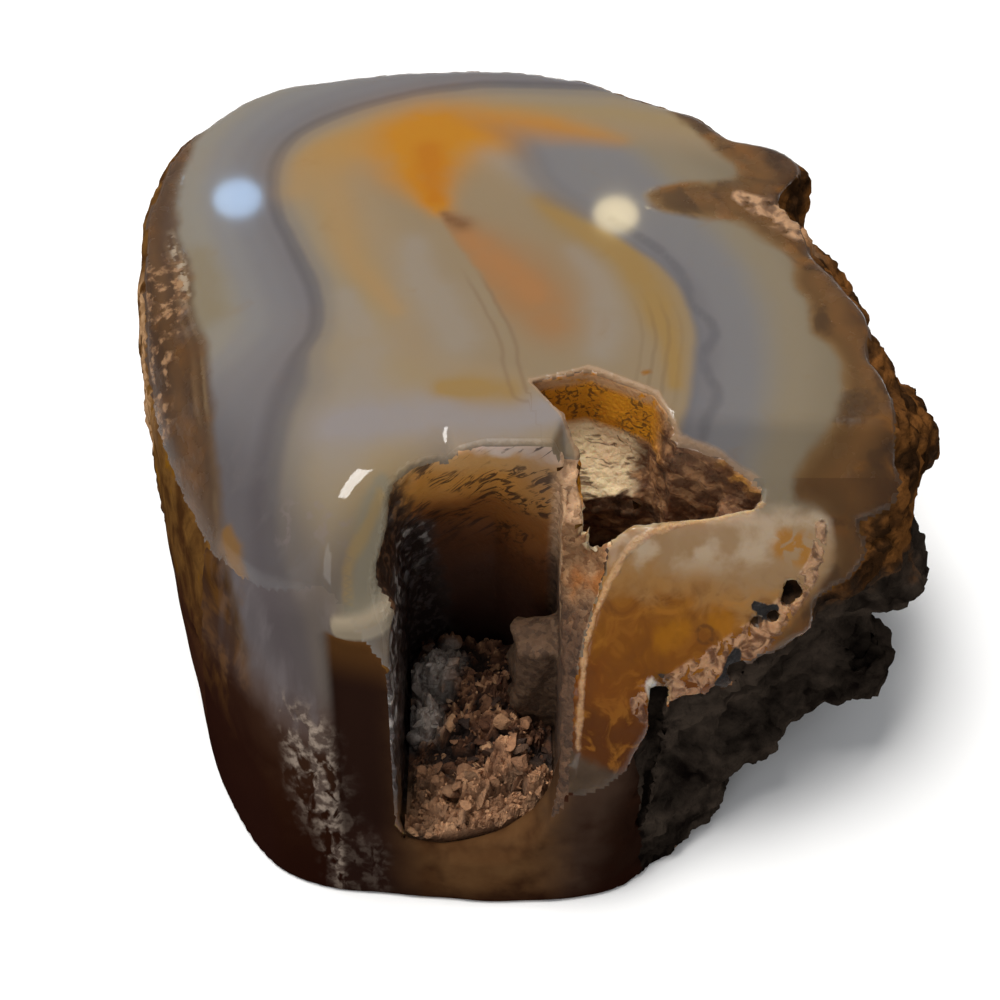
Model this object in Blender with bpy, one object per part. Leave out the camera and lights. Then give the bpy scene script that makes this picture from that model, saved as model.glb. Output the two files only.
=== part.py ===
"""Polished agate chunk: a natural nodule sawn flat underneath, ground and polished
on top, with an open hollow in its front and a brown mineral crust on the hollow's
floor. The stone is one solid; the crust is the second.

Frame: metres, +Z up, origin under the middle of the stone's box, on the flat base.
Front is -Y. The shapes are set out in millimetres round the nodule's upright axis.
"""

import math

import bmesh
import bpy
import numpy as np
from mathutils import Matrix, Vector

MM = 0.001

# Middle of the stone's box, from the nodule's upright axis, millimetres
CENTRE = (1.2, -0.3)

# Driving dimensions, millimetres
CREST = 50.0              # highest point of the polished top above the base
TOP_EDGE = 49.2           # height of the ground top where the facets start
WAIST = 25.0              # height of the middle outline in PLAN
BROW = 45.0               # the skin starts to round over towards the top here
BROW_ROUND = 16.0         # radius-like measure of that rounding
BASE_EDGE = 0.8           # height of the worn edge round the base
BASE_WORN = 0.7           # how far that edge is worn in at the base
BLANK_TOP = 54.0          # the uncut nodule ends here, above the ground top
AROUND = 108              # columns of the skin
SKIN_RINGS = 24           # rings of the skin
BLOCK = 200.0             # size of the block of air that a facet is cut with

# Plan outline: degrees, then the radius at the base, the waist and the brow
PLAN = (
    (-180, 45.0, 46.0, 43.8), (-165, 45.5, 45.0, 42.0), (-150, 47.0, 45.5, 40.5),
    (-135, 51.5, 46.5, 40.5), (-121, 54.8, 47.5, 39.5), (-105, 51.8, 45.5, 38.5),
    (-90, 50.8, 44.5, 37.5), (-77, 50.6, 45.0, 38.0), (-65, 47.2, 43.0, 38.0),
    (-50, 43.0, 42.5, 40.5), (-40, 40.0, 45.0, 42.5), (-28, 40.5, 49.5, 45.0),
    (-13, 40.0, 48.5, 41.0), (0, 39.0, 46.0, 39.5), (10, 38.5, 43.5, 38.5),
    (22, 39.0, 42.5, 38.0), (36, 42.0, 45.2, 42.6), (50, 44.0, 46.0, 43.0),
    (70, 46.0, 47.8, 43.6), (90, 48.0, 49.6, 46.6), (110, 50.0, 51.6, 49.0),
    (130, 51.0, 55.0, 54.0), (145, 49.0, 54.2, 53.0), (160, 46.0, 50.0, 48.5),
)

# Big lumps of the rough right side: degrees, height, half width, half height, reach
LUMPS = (
    (-34.0, 13.5, 10.0, 7.5, 5.5),
    (-24.0, 24.0, 9.0, 7.0, 2.6),
    (-50.0, 9.0, 9.0, 6.5, 3.4),
    (20.0, 37.0, 8.0, 10.0, 3.2),
    (-6.0, 33.0, 8.0, 8.5, 2.4),
    (36.0, 41.0, 7.0, 8.0, 1.6),
    (-66.0, 18.0, 7.5, 9.0, -1.8),
    (28.0, 46.5, 4.5, 6.0, -1.8),
    (6.0, 20.0, 10.0, 7.0, 2.2),
    (38.0, 16.0, 11.0, 8.0, 2.0),
)

# Small relief of the skin: wave length, turn and share of each set of waves
RELIEF = ((13.0, 0.4, 1.0), (7.5, 1.9, 0.55))
CALM = 0.10                             # height of the relief where the skin is smooth
ROUGH_SIDE = (-58.0, 42.0, 18.0, 1.15)  # from and to in degrees, its fade, its height
ROUGH_BACK = (60.0, 172.0, 16.0, 0.35)

# Five crossed waves make each set: turn and rise from one to the next, and phases
WAVES = 5
WAVE_TURN = 2.4
WAVE_RISE = (0.75, -0.36)
WAVE_PHASE = (1.7, 3.1)
WAVE_SHARE = 2.6

# Ground facets: a point of the top edge, the plan direction it falls in, its slope
FACET_LEFT = ((-33.7, -11.3), (-0.790, -0.613), 1.19)
FACET_CORNER = ((-19.0, -30.3), (0.590, -0.807), 1.30)
FACET_KNOB = ((26.0, -19.1), (0.0, -1.0), 1.16)
CORNER_REACH = -7.0       # the corner facet ends over the hollow, at this x
KNOB_REACH = 3.5          # the knob facet starts over the hollow, at this x
SHOULDER_EDGE = (7.6, -42.1, 22.5)    # lower left end of the knob's polished face
SHOULDER_TOP = (10.1, -29.6, 37.0)    # upper left end of it
SHOULDER_FALL = 1.2       # slope of the crusted shoulder left of that edge
SHOULDER_BACK = -27.0     # the shoulder ends here, at the partition
SHOULDER_LEFT = 2.9       # and here, over the hollow
SHOULDER_RIGHT = 12.0     # and here, over the knob

# Main hollow: its walls, then the bow of its back wall and that wall's round corner
HOLLOW_LEFT, HOLLOW_RIGHT = -13.9, 4.4
HOLLOW_BACK = -21.0       # rim of the back wall, before its bow
HOLLOW_FLOOR = 6.0
FLOOR_ROUND = 0.8         # the floor's edge is drawn in this much
HOLLOW_FRONT = -60.0      # the cut runs out through the front
HOLLOW_COLUMNS = 9
HOLLOW_RINGS = 11
BOW = 4.5                 # how far the back wall bows in below the rim
BOW_HEIGHT = 44.0         # height over which it bows
BOW_PHASE = 0.8           # share of a half wave that the bow takes
BOW_END = 3.0             # the bow fades out towards the partition at this x
CORNER_START = -8.0       # the back wall turns forward left of this x
CORNER_SPAN = 6.0         # width over which either change takes place
CORNER_TURN = 3.5

# Sill in front of the hollow: x and height of its top edge, and its inner edge
SILL = ((-13.9, 7.5), (2.6, 9.0), (4.4, 14.6))
SILL_BACK = ((-11.0, -46.8), (4.0, -42.0))
SILL_STEP = 3.0           # first ring of the hollow's cutter above the sill
SILL_FALL = 0.5           # the sill's top falls this much towards the cut's front end

# Side hollow behind the knob: its plan outline, and its sloping bottom
NOTCH = (
    (1.1, -13.6), (7.3, -11.8), (14.3, -15.3), (16.5, -20.5), (21.7, -21.6),
    (26.0, -23.8), (25.0, -25.0), (19.2, -25.9), (12.5, -26.5), (9.2, -28.6),
    (6.4, -27.0), (6.2, -21.0),
)
NOTCH_PIT = 20.0          # bottom of the side hollow's dark pit
NOTCH_WAVE = (0.5, 1.3, 0.9)          # unevenness of its ground: height, along x and y
LEDGES = ((12.0, 5.0), (15.5, 5.5), (19.0, 5.0), (22.5, 4.5))   # x, then the rise there
LEDGE_FADE = 0.9
LEDGE_LEAN = 0.45         # how far a ledge's edge runs along x for each mm of y
LEDGE_MIDDLE = -22.0      # y where a ledge stands at its own x
SHELF_FRONT = -17.2       # the grey sheet reaches this far forward
SHELF_BACK = (-11.5, 42.0)
SHELF_DROP = 1.25         # its fall for each millimetre forward
SHELF_RIGHT = 17.0

# Stump of broken crust on the hollow's right wall: lowest and highest corner
STUMP = ((-0.8, -31.0, 5.0), (5.4, -25.0, 23.0))
STUMP_WORN = 0.7
STUMP_ROOM = 0.6          # the floor's crust stays this far off it

# Crack between the knob and the rough side: its ends, half width, depth and sway
CRACK_TOP = (15.6, -40.0, 27.0)
CRACK_FOOT = (13.6, -46.5, 9.0)
CRACK_HALF = 0.65
CRACK_DEEP = 4.0
CRACK_OUT = 9.0
CRACK_SWAY = 0.5

# Pits in the knob's face: x, y, radius; and in the rind: degrees, height, radius
FACE_PITS = ((29.3, -31.2, 1.5), (26.0, -33.4, 1.0), (23.6, -36.9, 1.3), (21.3, -38.6, 1.0))
RIND_PITS = (
    (-146.0, 19.0, 1.5), (178.0, 39.0, 1.6), (-171.0, 35.5, 1.3), (-34.0, 19.0, 2.2),
    (-12.0, 26.0, 2.4), (30.0, 27.0, 2.2), (64.0, 20.0, 1.8),
)
PIT_SINK = 0.2            # a pit's centre stands this share of its radius off the skin
PIT_UNEVEN = 0.18

# Crust on the hollow's floor, with its lumps: x, y, half width, rise
CRUST_GAP = 0.35
CRUST_SIDE, CRUST_FRONT, CRUST_BACK = 1.3, 1.2, 1.6   # how far it stays off the walls
CRUST_CELLS = (20, 26)
CRUST_TOP = 8.6
CRUST_RIM = 1.2           # thickness of the crust at its rim
CRUST_LUMPS = (
    (-10.0, -24.5, 2.8, 4.4), (-11.2, -31.0, 2.4, 2.9), (-5.5, -26.5, 3.0, 2.1),
    (-1.6, -37.5, 3.2, 3.4), (-6.8, -33.5, 2.6, 1.9), (0.8, -33.6, 2.0, 2.4),
    (-5.2, -40.0, 2.2, 1.3), (-10.6, -40.5, 2.2, 1.5), (2.0, -39.8, 1.8, 1.6),
)


def plan_radius(angle, level):
    """Radius of one plan outline, a smooth closed curve through its points."""
    marks = np.radians([row[0] for row in PLAN] + [180.0])
    radii = np.array([row[level] for row in PLAN] + [PLAN[0][level]])
    span = np.diff(marks)
    chord = np.diff(radii) / span
    before, width = np.roll(chord, 1), np.roll(span, 1)
    slope = (chord * width + before * span) / (span + width)
    slope = np.append(slope, slope[0])
    turn = (np.asarray(angle) + math.pi) % (2.0 * math.pi) - math.pi
    cell = np.clip(np.searchsorted(marks, turn, side="right") - 1, 0, len(span) - 1)
    t = (turn - marks[cell]) / span[cell]
    lead, tail = slope[cell] * span[cell], slope[cell + 1] * span[cell]
    return ((2 * t**3 - 3 * t**2 + 1) * radii[cell] + (t**3 - 2 * t**2 + t) * lead
            + (3 * t**2 - 2 * t**3) * radii[cell + 1] + (t**3 - t**2) * tail)


def soft_step(q):
    """0 to 1 with level ends, for a value that may lie outside them."""
    q = np.clip(q, 0.0, 1.0)
    return q * q * (3.0 - 2.0 * q)


def bump(value, low, high, fade):
    """1 between low and high, falling smoothly to 0 over the fade."""
    return soft_step(np.minimum((value - low) / fade, (high - value) / fade) + 1.0)


def swell(x, y, z, wave, turn):
    """Sum of crossed waves of about one length: a smooth uneven field near -1 to 1."""
    total = 0.0
    for step in range(WAVES):
        lean = turn + WAVE_TURN * step
        rise = WAVE_RISE[0] + WAVE_RISE[1] * step
        flat = math.sqrt(1.0 - rise * rise)
        phase = WAVE_PHASE[0] * step + WAVE_PHASE[1] * turn
        along = x * flat * math.cos(lean) + y * flat * math.sin(lean) + z * rise
        total = total + np.sin(2 * math.pi * along / wave + phase)
    return total / WAVE_SHARE


def roughness(angle):
    """Height of the skin's relief, by the side of the stone."""
    height = CALM
    for low, high, fade, more in (ROUGH_SIDE, ROUGH_BACK):
        height = height + more * bump(np.degrees(angle), low, high, fade)
    return height


def skin_radius(angle, z):
    """Distance of the nodule's skin from the upright axis."""
    s = z / WAIST
    base, waist, brow = (plan_radius(angle, level) for level in (1, 2, 3))
    radius = base * (1 - s) * (2 - s) / 2 + waist * s * (2 - s) + brow * s * (s - 1) / 2
    radius = radius - np.maximum(z - BROW, 0.0) ** 2 / BROW_ROUND
    for degrees, level, half_width, half_height, reach in LUMPS:
        away = (np.asarray(angle) - math.radians(degrees)) * radius / half_width
        radius = radius + reach * soft_step(1.0 - away**2 - ((z - level) / half_height) ** 2)
    x, y = radius * np.cos(angle), radius * np.sin(angle)
    relief = sum(share * swell(x, y, z, wave, turn) for wave, turn, share in RELIEF)
    return radius + roughness(angle) * relief


def new_object(name, bm):
    """Link a bmesh, given in millimetres round the axis, as an object in metres."""
    bmesh.ops.recalc_face_normals(bm, faces=bm.faces)
    bm.transform(Matrix.Scale(MM, 4) @ Matrix.Translation((-CENTRE[0], -CENTRE[1], 0.0)))
    mesh = bpy.data.meshes.new(name)
    bm.to_mesh(mesh)
    bm.free()
    thing = bpy.data.objects.new(name, mesh)
    bpy.context.scene.collection.objects.link(thing)
    return thing


def loft(rings):
    """Closed bmesh through rings of equal length, with a face at each end."""
    bm = bmesh.new()
    rows = [[bm.verts.new(point) for point in ring] for ring in rings]
    count = len(rows[0])
    for low, high in zip(rows, rows[1:]):
        for i in range(count):
            j = (i + 1) % count
            bm.faces.new((low[i], low[j], high[j], high[i]))
    bm.faces.new(list(reversed(rows[0])))
    bm.faces.new(rows[-1])
    bmesh.ops.triangulate(bm, faces=bm.faces)
    return bm


def block(top, base):
    """Closed bmesh between two grids of points with the same rows and columns."""
    bm = bmesh.new()
    top = [[bm.verts.new(point) for point in row] for row in top]
    base = [[bm.verts.new(point) for point in row] for row in base]
    deep, across = len(top) - 1, len(top[0]) - 1
    for j in range(deep):
        for i in range(across):
            bm.faces.new((top[j][i], top[j][i + 1], top[j + 1][i + 1], top[j + 1][i]))
            bm.faces.new((base[j][i], base[j + 1][i], base[j + 1][i + 1], base[j][i + 1]))
    for i in range(across):
        bm.faces.new((base[0][i], base[0][i + 1], top[0][i + 1], top[0][i]))
        bm.faces.new((base[-1][i + 1], base[-1][i], top[-1][i], top[-1][i + 1]))
    for j in range(deep):
        bm.faces.new((base[j + 1][0], base[j][0], top[j][0], top[j + 1][0]))
        bm.faces.new((base[j][-1], base[j + 1][-1], top[j + 1][-1], top[j][-1]))
    return bm


def nodule():
    """The uncut stone: rings of its skin from the flat base to above the top."""
    angles = np.linspace(-math.pi, math.pi, AROUND, endpoint=False)
    rings = []
    for z in [0.0] + list(np.linspace(BASE_EDGE, BLANK_TOP, SKIN_RINGS)):
        radius = skin_radius(angles, z)
        if z == 0.0:
            radius = radius - BASE_WORN
        rings.append([Vector((r * math.cos(a), r * math.sin(a), z))
                      for r, a in zip(radius, angles)])
    return loft(rings)


def wedge(planes):
    """Big block cut down by planes; each plane's normal points at what goes."""
    bm = bmesh.new()
    bmesh.ops.create_cube(bm, size=BLOCK)
    for point, normal in planes:
        geometry = bm.verts[:] + bm.edges[:] + bm.faces[:]
        bmesh.ops.bisect_plane(bm, geom=geometry, plane_co=point, plane_no=normal,
                               clear_outer=True)
        rim = [edge for edge in bm.edges if edge.is_boundary]
        bmesh.ops.holes_fill(bm, edges=rim, sides=0)
    return bm


def facet_plane(facet):
    """Point and downward normal of a ground facet."""
    (px, py), (nx, ny), slope = facet
    return Vector((px, py, TOP_EDGE)), -Vector((nx * slope, ny * slope, 1.0))


def side_plane(x, way):
    """Upright plane across X; way is 1 to clear what lies right of it, -1 left."""
    return Vector((x, 0.0, 0.0)), Vector((way, 0.0, 0.0))


def shoulder_plane():
    """Plane of the crusted shoulder, down to the left from the knob's face."""
    low, high = Vector(SHOULDER_EDGE), Vector(SHOULDER_TOP)
    normal = (high - low).cross(Vector((-1.0, 0.0, -SHOULDER_FALL)))
    return low, -normal if normal.z > 0 else normal


def facet_cutters():
    """Names and planes of the blocks of air over the ground top and the facets."""
    top = (Vector((0.0, 0.0, CREST)), Vector((0.0, 0.0, -1.0)))
    behind = (Vector((0.0, SHOULDER_BACK, 0.0)), Vector((0.0, 1.0, 0.0)))
    return (
        ("cut_top", (top,)),
        ("cut_left", (facet_plane(FACET_LEFT),)),
        ("cut_corner", (facet_plane(FACET_CORNER), side_plane(CORNER_REACH, 1.0))),
        ("cut_knob", (facet_plane(FACET_KNOB), side_plane(KNOB_REACH, -1.0))),
        ("cut_shoulder", (shoulder_plane(), side_plane(SHOULDER_LEFT, -1.0),
                          side_plane(SHOULDER_RIGHT, 1.0), behind)),
    )


def back_wall(x, z):
    """Depth of the main hollow's back wall."""
    fall = min(max((TOP_EDGE - z) / BOW_HEIGHT, 0.0), 1.0)
    corner = min(max((CORNER_START - x) / CORNER_SPAN, 0.0), 1.0)
    bow = BOW * min(max((BOW_END - x) / CORNER_SPAN, 0.0), 1.0)
    return HOLLOW_BACK + bow * math.sin(fall * math.pi * BOW_PHASE) - CORNER_TURN * corner**2


def sill_back(x):
    """Depth of the sill's inner edge."""
    (left, deep), (right, near) = SILL_BACK
    t = min(max((x - left) / (right - left), 0.0), 1.0)
    return deep + (near - deep) * t * t


def sill_top(x):
    """Height of the sill, which climbs against the knob."""
    xs, zs = zip(*SILL)
    return float(np.interp(x, xs, zs))


def hollow():
    """The main hollow: a pocket behind the sill, then open to the top and the front."""
    columns = list(np.linspace(HOLLOW_LEFT, SILL[1][0], HOLLOW_COLUMNS)) + [HOLLOW_RIGHT]
    rings = []
    for z, worn in ((HOLLOW_FLOOR, FLOOR_ROUND), (HOLLOW_FLOOR + 1.0, 0.0)):
        ring = [Vector((x, back_wall(x, z) - worn, z)) for x in columns]
        ring += [Vector((x, sill_back(x) + worn, z)) for x in reversed(columns)]
        rings.append(ring)
    rings.append([Vector((x, back_wall(x, sill_top(x)), sill_top(x))) for x in columns]
                 + [Vector((x, sill_back(x), sill_top(x))) for x in reversed(columns)])
    for share in np.linspace(0.0, 1.0, HOLLOW_RINGS):
        drop = (SILL_STEP + SILL_FALL) * (1.0 - share)
        back, front = [], []
        for x in columns:
            low = sill_top(x) + SILL_STEP
            z = low + share * (BLANK_TOP + 2.0 - low)
            back.append(Vector((x, back_wall(x, z), z)))
            front.append(Vector((x, HOLLOW_FRONT, z - drop)))
        rings.append(back + front[::-1])
    return loft(rings)


def side_hollow():
    """Upright prism of the side hollow's plan outline."""
    heights = np.linspace(NOTCH_PIT - 1.0, BLANK_TOP, 8)
    return loft([[Vector((x, y, z)) for x, y in NOTCH] for z in heights])


def ledge_height(x, y):
    """Height of the side hollow's bottom: a pit, stepped ledges and a grey sheet."""
    along = x - LEDGE_LEAN * (y - LEDGE_MIDDLE)
    wave, per_x, per_y = NOTCH_WAVE
    height = NOTCH_PIT + wave * math.sin(per_x * x + per_y * y)
    for start, rise in LEDGES:
        height += rise * float(soft_step((along - start) / LEDGE_FADE + 1.0))
    if y > SHELF_FRONT and x < SHELF_RIGHT:
        back_y, back_z = SHELF_BACK
        height = max(height, back_z - SHELF_DROP * (back_y - y))
    return height


def ledges():
    """Terraced ground of the side hollow, taken out of its cutter."""
    xs, ys = np.linspace(-1.0, 29.0, 31), np.linspace(-32.0, -9.0, 24)
    top = [[(x, y, ledge_height(x, y)) for x in xs] for y in ys]
    base = [[(x, y, NOTCH_PIT / 2.0) for x in xs] for y in ys]
    return block(top, base)


def stump(grow=0.0):
    """Broken stub of crust standing on the hollow's right wall, or the room round it."""
    (x0, y0, z0), (x1, y1, z1) = STUMP
    x0, y0, x1, y1 = x0 - grow, y0 - grow, x1 + grow, y1 + grow
    bm = bmesh.new()
    bmesh.ops.create_cube(bm, size=1.0)
    bmesh.ops.subdivide_edges(bm, edges=bm.edges, cuts=3, use_grid_fill=True)
    for vert in bm.verts:
        t = vert.co + Vector((0.5, 0.5, 0.5))
        vert.co = Vector((x0 + t.x * (x1 - x0), y0 + t.y * (y1 - y0), z0 + t.z * (z1 - z0)))
        worn = STUMP_WORN * float(swell(vert.co.x, vert.co.y, vert.co.z, 5.0, 0.9))
        vert.co += Vector((worn, 0.6 * worn, 1.1 * worn if vert.co.z > z0 + 1.0 else 0.0))
    return bm


def crack():
    """Thin dark crack down the front, between the knob and the rough side."""
    rings = []
    for share in (0.0, 0.25, 0.5, 0.75, 1.0):
        spot = Vector(CRACK_FOOT).lerp(Vector(CRACK_TOP), share)
        width = CRACK_HALF * (0.55 + 0.9 * share)
        spot.x += CRACK_SWAY * math.sin(5.0 * share)
        rings.append([spot + Vector((dx, dy, 0.0))
                      for dx, dy in ((-width, -CRACK_OUT), (width, -CRACK_OUT),
                                     (0.4 * width, CRACK_DEEP), (-0.4 * width, CRACK_DEEP))])
    return loft(rings)


def pit(centre, radius):
    """Uneven round pit."""
    bm = bmesh.new()
    bmesh.ops.create_icosphere(bm, subdivisions=2, radius=radius)
    for vert in bm.verts:
        uneven = float(swell(vert.co.x, vert.co.y, vert.co.z, 2.6, centre.x))
        vert.co = vert.co * (1.0 + PIT_UNEVEN * uneven) + centre
    return bm


def pit_places():
    """Centre and radius of every pit, on the knob's face and on the skin."""
    (_, edge), _, slope = FACET_KNOB
    places = []
    for x, y, radius in FACE_PITS:
        places.append((Vector((x, y, TOP_EDGE - slope * (edge - y))), radius))
    for degrees, z, radius in RIND_PITS:
        angle = math.radians(degrees)
        out = float(skin_radius(angle, z)) + PIT_SINK * radius
        places.append((Vector((out * math.cos(angle), out * math.sin(angle), z)), radius))
    return places


def crust_height(x, y):
    """Height of the crumbly crust, away from its rim."""
    height = CRUST_TOP + 0.5 * float(swell(x, y, 0.0, 4.2, 2.2))
    for cx, cy, half, rise in CRUST_LUMPS:
        q = max(0.0, 1.0 - ((x - cx) ** 2 + (y - cy) ** 2) / half**2)
        height += rise * q * (2.0 - q)
    return height


def crust():
    """Crumbly crust over the hollow's floor, clear of its walls by a small gap."""
    across, deep = CRUST_CELLS
    low = HOLLOW_FLOOR + CRUST_GAP
    left, right = HOLLOW_LEFT + CRUST_SIDE, HOLLOW_RIGHT - CRUST_SIDE
    top, base = [], []
    for v in np.linspace(0.0, 1.0, deep + 1):
        top_row, base_row = [], []
        for u in np.linspace(0.0, 1.0, across + 1):
            x = left + u * (right - left)
            front = sill_back(x) + CRUST_FRONT
            y = front + v * (back_wall(x, CRUST_TOP) - CRUST_BACK - front)
            rim = min(12.0 * min(u, 1.0 - u), 14.0 * min(v, 1.0 - v), 1.0)
            rise = crust_height(x, y) - low - CRUST_RIM
            top_row.append((x, y, low + CRUST_RIM + rise * (0.45 + 0.55 * rim)))
            base_row.append((x, y, low))
        top.append(top_row)
        base.append(base_row)
    return block(top, base)


def material(name, colour, rough):
    """Principled material with a colour and a roughness."""
    made = bpy.data.materials.new(name)
    made.use_nodes = True
    shader = made.node_tree.nodes["Principled BSDF"]
    shader.inputs["Base Color"].default_value = (*colour, 1.0)
    shader.inputs["Roughness"].default_value = rough
    shader.inputs["Metallic"].default_value = 0.0
    return made


def combine(target, tool, how):
    """Cut a solid with, or join it to, a guide object by an exact Boolean."""
    tool.hide_render = True
    tool.display_type = "WIRE"
    step = target.modifiers.new(tool.name, "BOOLEAN")
    step.operation = how
    step.solver = "EXACT"
    step.object = tool


def agate_body():
    """The stone: the nodule, its facets, both hollows, the stump, the crack and pits."""
    stone = new_object("agate_body", nodule())
    stone.data.materials.append(material("agate", (0.45, 0.40, 0.34), 0.12))
    for name, planes in facet_cutters():
        combine(stone, new_object(name, wedge(planes)), "DIFFERENCE")
    combine(stone, new_object("cut_hollow", hollow()), "DIFFERENCE")
    side = new_object("cut_side_hollow", side_hollow())
    combine(side, new_object("cut_ledges", ledges()), "DIFFERENCE")
    combine(stone, side, "DIFFERENCE")
    combine(stone, new_object("add_stump", stump()), "UNION")
    combine(stone, new_object("cut_crack", crack()), "DIFFERENCE")
    for number, (centre, radius) in enumerate(pit_places()):
        combine(stone, new_object(f"cut_pit_{number}", pit(centre, radius)), "DIFFERENCE")


def hollow_crust():
    """The brown crust on the hollow's floor, with room for the stump."""
    floor = new_object("hollow_crust", crust())
    floor.data.materials.append(material("mineral_crust", (0.30, 0.19, 0.12), 0.95))
    combine(floor, new_object("cut_crust", stump(STUMP_ROOM)), "DIFFERENCE")


def main():
    """Build the stone and the crust."""
    for thing in list(bpy.data.objects):
        bpy.data.objects.remove(thing)
    agate_body()
    hollow_crust()


main()
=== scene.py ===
"""Looks of a thick polished agate: the banded stone with its rough rind, its knob and
its two hollows, and the crumbly crust on the main hollow's floor.

The forms are set out in millimetres round the nodule's upright axis, as signed
distances that are negative inside the stone, and turned into meshes in metres.
"""

from __future__ import annotations

import logging
import math
from dataclasses import dataclass, field
from enum import Enum
from functools import reduce

import bpy
import numpy as np
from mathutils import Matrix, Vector


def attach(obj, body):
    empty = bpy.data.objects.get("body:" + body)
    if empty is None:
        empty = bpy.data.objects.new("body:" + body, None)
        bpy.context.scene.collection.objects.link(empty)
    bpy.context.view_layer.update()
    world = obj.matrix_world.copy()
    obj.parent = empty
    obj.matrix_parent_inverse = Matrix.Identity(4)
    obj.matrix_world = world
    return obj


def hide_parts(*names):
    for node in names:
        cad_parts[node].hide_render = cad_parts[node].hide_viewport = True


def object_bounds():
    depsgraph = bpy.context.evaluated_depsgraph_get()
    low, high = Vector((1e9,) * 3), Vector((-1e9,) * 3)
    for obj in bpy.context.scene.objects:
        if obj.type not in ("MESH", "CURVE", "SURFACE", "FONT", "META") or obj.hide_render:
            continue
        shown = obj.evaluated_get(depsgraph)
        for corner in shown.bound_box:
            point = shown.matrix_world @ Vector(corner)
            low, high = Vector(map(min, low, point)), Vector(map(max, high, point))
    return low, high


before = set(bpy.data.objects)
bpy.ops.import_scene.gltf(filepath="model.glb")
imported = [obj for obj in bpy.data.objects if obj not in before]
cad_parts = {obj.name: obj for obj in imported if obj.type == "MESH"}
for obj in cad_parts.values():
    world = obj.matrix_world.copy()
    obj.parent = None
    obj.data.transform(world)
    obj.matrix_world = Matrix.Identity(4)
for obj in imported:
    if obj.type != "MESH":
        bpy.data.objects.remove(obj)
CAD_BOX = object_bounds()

Array = np.ndarray
Triple = tuple[float, float, float]
Colour = tuple[float, float, float, float]
Tint = tuple[float, ...]
Points = tuple[tuple[float, ...], ...]
Socket = bpy.types.NodeSocket
Input = "Socket | float | Tint"

LOG = logging.getLogger("agate")

MM = 0.001
CENTRE = (1.2, -0.3, 0.0)     # middle of the stone's base from the nodule's axis
CREST = 50.0
TOP_EDGE = 49.2               # height of the ground top where the facets start
PHOTO = 1000                  # the photograph's width and height in pixels


def soft_step(q: Array) -> Array:
    """0 to 1 with level ends, for a value that may lie outside them."""
    q = np.clip(q, 0.0, 1.0)
    return q * q * (3.0 - 2.0 * q)


def bump(value: Array, low: float, high: float, fade: float) -> Array:
    """1 between low and high, falling smoothly to 0 over the fade."""
    return soft_step(np.minimum((value - low) / fade, (high - value) / fade) + 1.0)


def smooth_max(a: Array, b: Array, blend: float) -> Array:
    """Larger of two distances, rounded where they meet over the blend."""
    h = np.clip(0.5 + 0.5 * (a - b) / blend, 0.0, 1.0)
    return b + (a - b) * h + blend * h * (1.0 - h)


def smooth_min(a: Array, b: Array, blend: float) -> Array:
    """Smaller of two distances, rounded where they meet over the blend."""
    return -smooth_max(-a, -b, blend)


def swell(x: Array, y: Array, z: Array, wave: float, turn: float) -> Array:
    """Sum of crossed waves of about one length, near -1 to 1.

    Args:
        x, y, z: places in millimetres.
        wave: about the distance from one swelling to the next.
        turn: sets the waves' directions and phases.

    Returns:
        The field's height at each place.
    """
    total = 0.0
    for step in range(5):
        lean = turn + 2.4 * step
        rise = 0.75 - 0.36 * step
        flat = math.sqrt(1.0 - rise * rise)
        along = x * flat * math.cos(lean) + y * flat * math.sin(lean) + z * rise
        total = total + np.sin(2 * math.pi * along / wave + 1.7 * step + 3.1 * turn)
    return total / 2.6


@dataclass
class Noise:
    """Smooth random field on a lattice, the same on every run."""

    seed: int = 5
    order: Array = field(init=False)
    slopes: Array = field(init=False)

    def __post_init__(self) -> None:
        """Draw the lattice's order and slopes."""
        draw = np.random.default_rng(self.seed)
        self.order = draw.permutation(256)
        slopes = draw.normal(size=(256, 3))
        self.slopes = slopes / np.linalg.norm(slopes, axis=1, keepdims=True)

    def _key(self, i: Array, j: Array, k: Array) -> Array:
        """Number from 0 to 255 for each lattice point."""
        first = self.order[i & 255]
        second = self.order[(first + j) & 255]
        return self.order[(second + k) & 255]

    def wave(self, p: Array, size: float) -> Array:
        """Field of about -1 to 1 at points p, with lumps about size apart."""
        q = p / size
        cell = np.floor(q).astype(int)
        t = q - cell
        w = t * t * t * (t * (t * 6 - 15) + 10)
        total = np.zeros(len(p))
        for corner in range(8):
            step = np.array([corner & 1, (corner >> 1) & 1, (corner >> 2) & 1])
            slope = self.slopes[self._key(*(cell + step).T)]
            share = np.prod(np.where(step == 1, w, 1.0 - w), axis=1)
            total += share * np.einsum("ij,ij->i", slope, t - step)
        return 1.9 * total

    def layers(self, p: Array, size: float, count: int, fall: float = 0.5) -> Array:
        """Several waves, each half as long and fall times as high as the last."""
        total = np.zeros(len(p))
        for step in range(count):
            total += fall**step * self.wave(p + 17.3 * step, size / 2**step)
        return total

    def cells(self, p: Array, size: float) -> tuple[Array, Array]:
        """Broken ground: distance to the nearest grain's edge, and a value for each grain."""
        q = p / size
        base = np.floor(q).astype(int)
        near = np.full(len(p), 9.0)
        second = np.full(len(p), 9.0)
        value = np.zeros(len(p))
        for step in np.ndindex(3, 3, 3):
            home = base + np.array(step) - 1
            key = self._key(*home.T)
            spot = home + 0.5 + 0.42 * self.slopes[key]
            far = np.linalg.norm(q - spot, axis=1)
            closer = far < near
            second = np.where(closer, near, np.minimum(second, far))
            value = np.where(closer, key / 255.0, value)
            near = np.where(closer, far, near)
        return (second - near) * size, value


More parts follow.
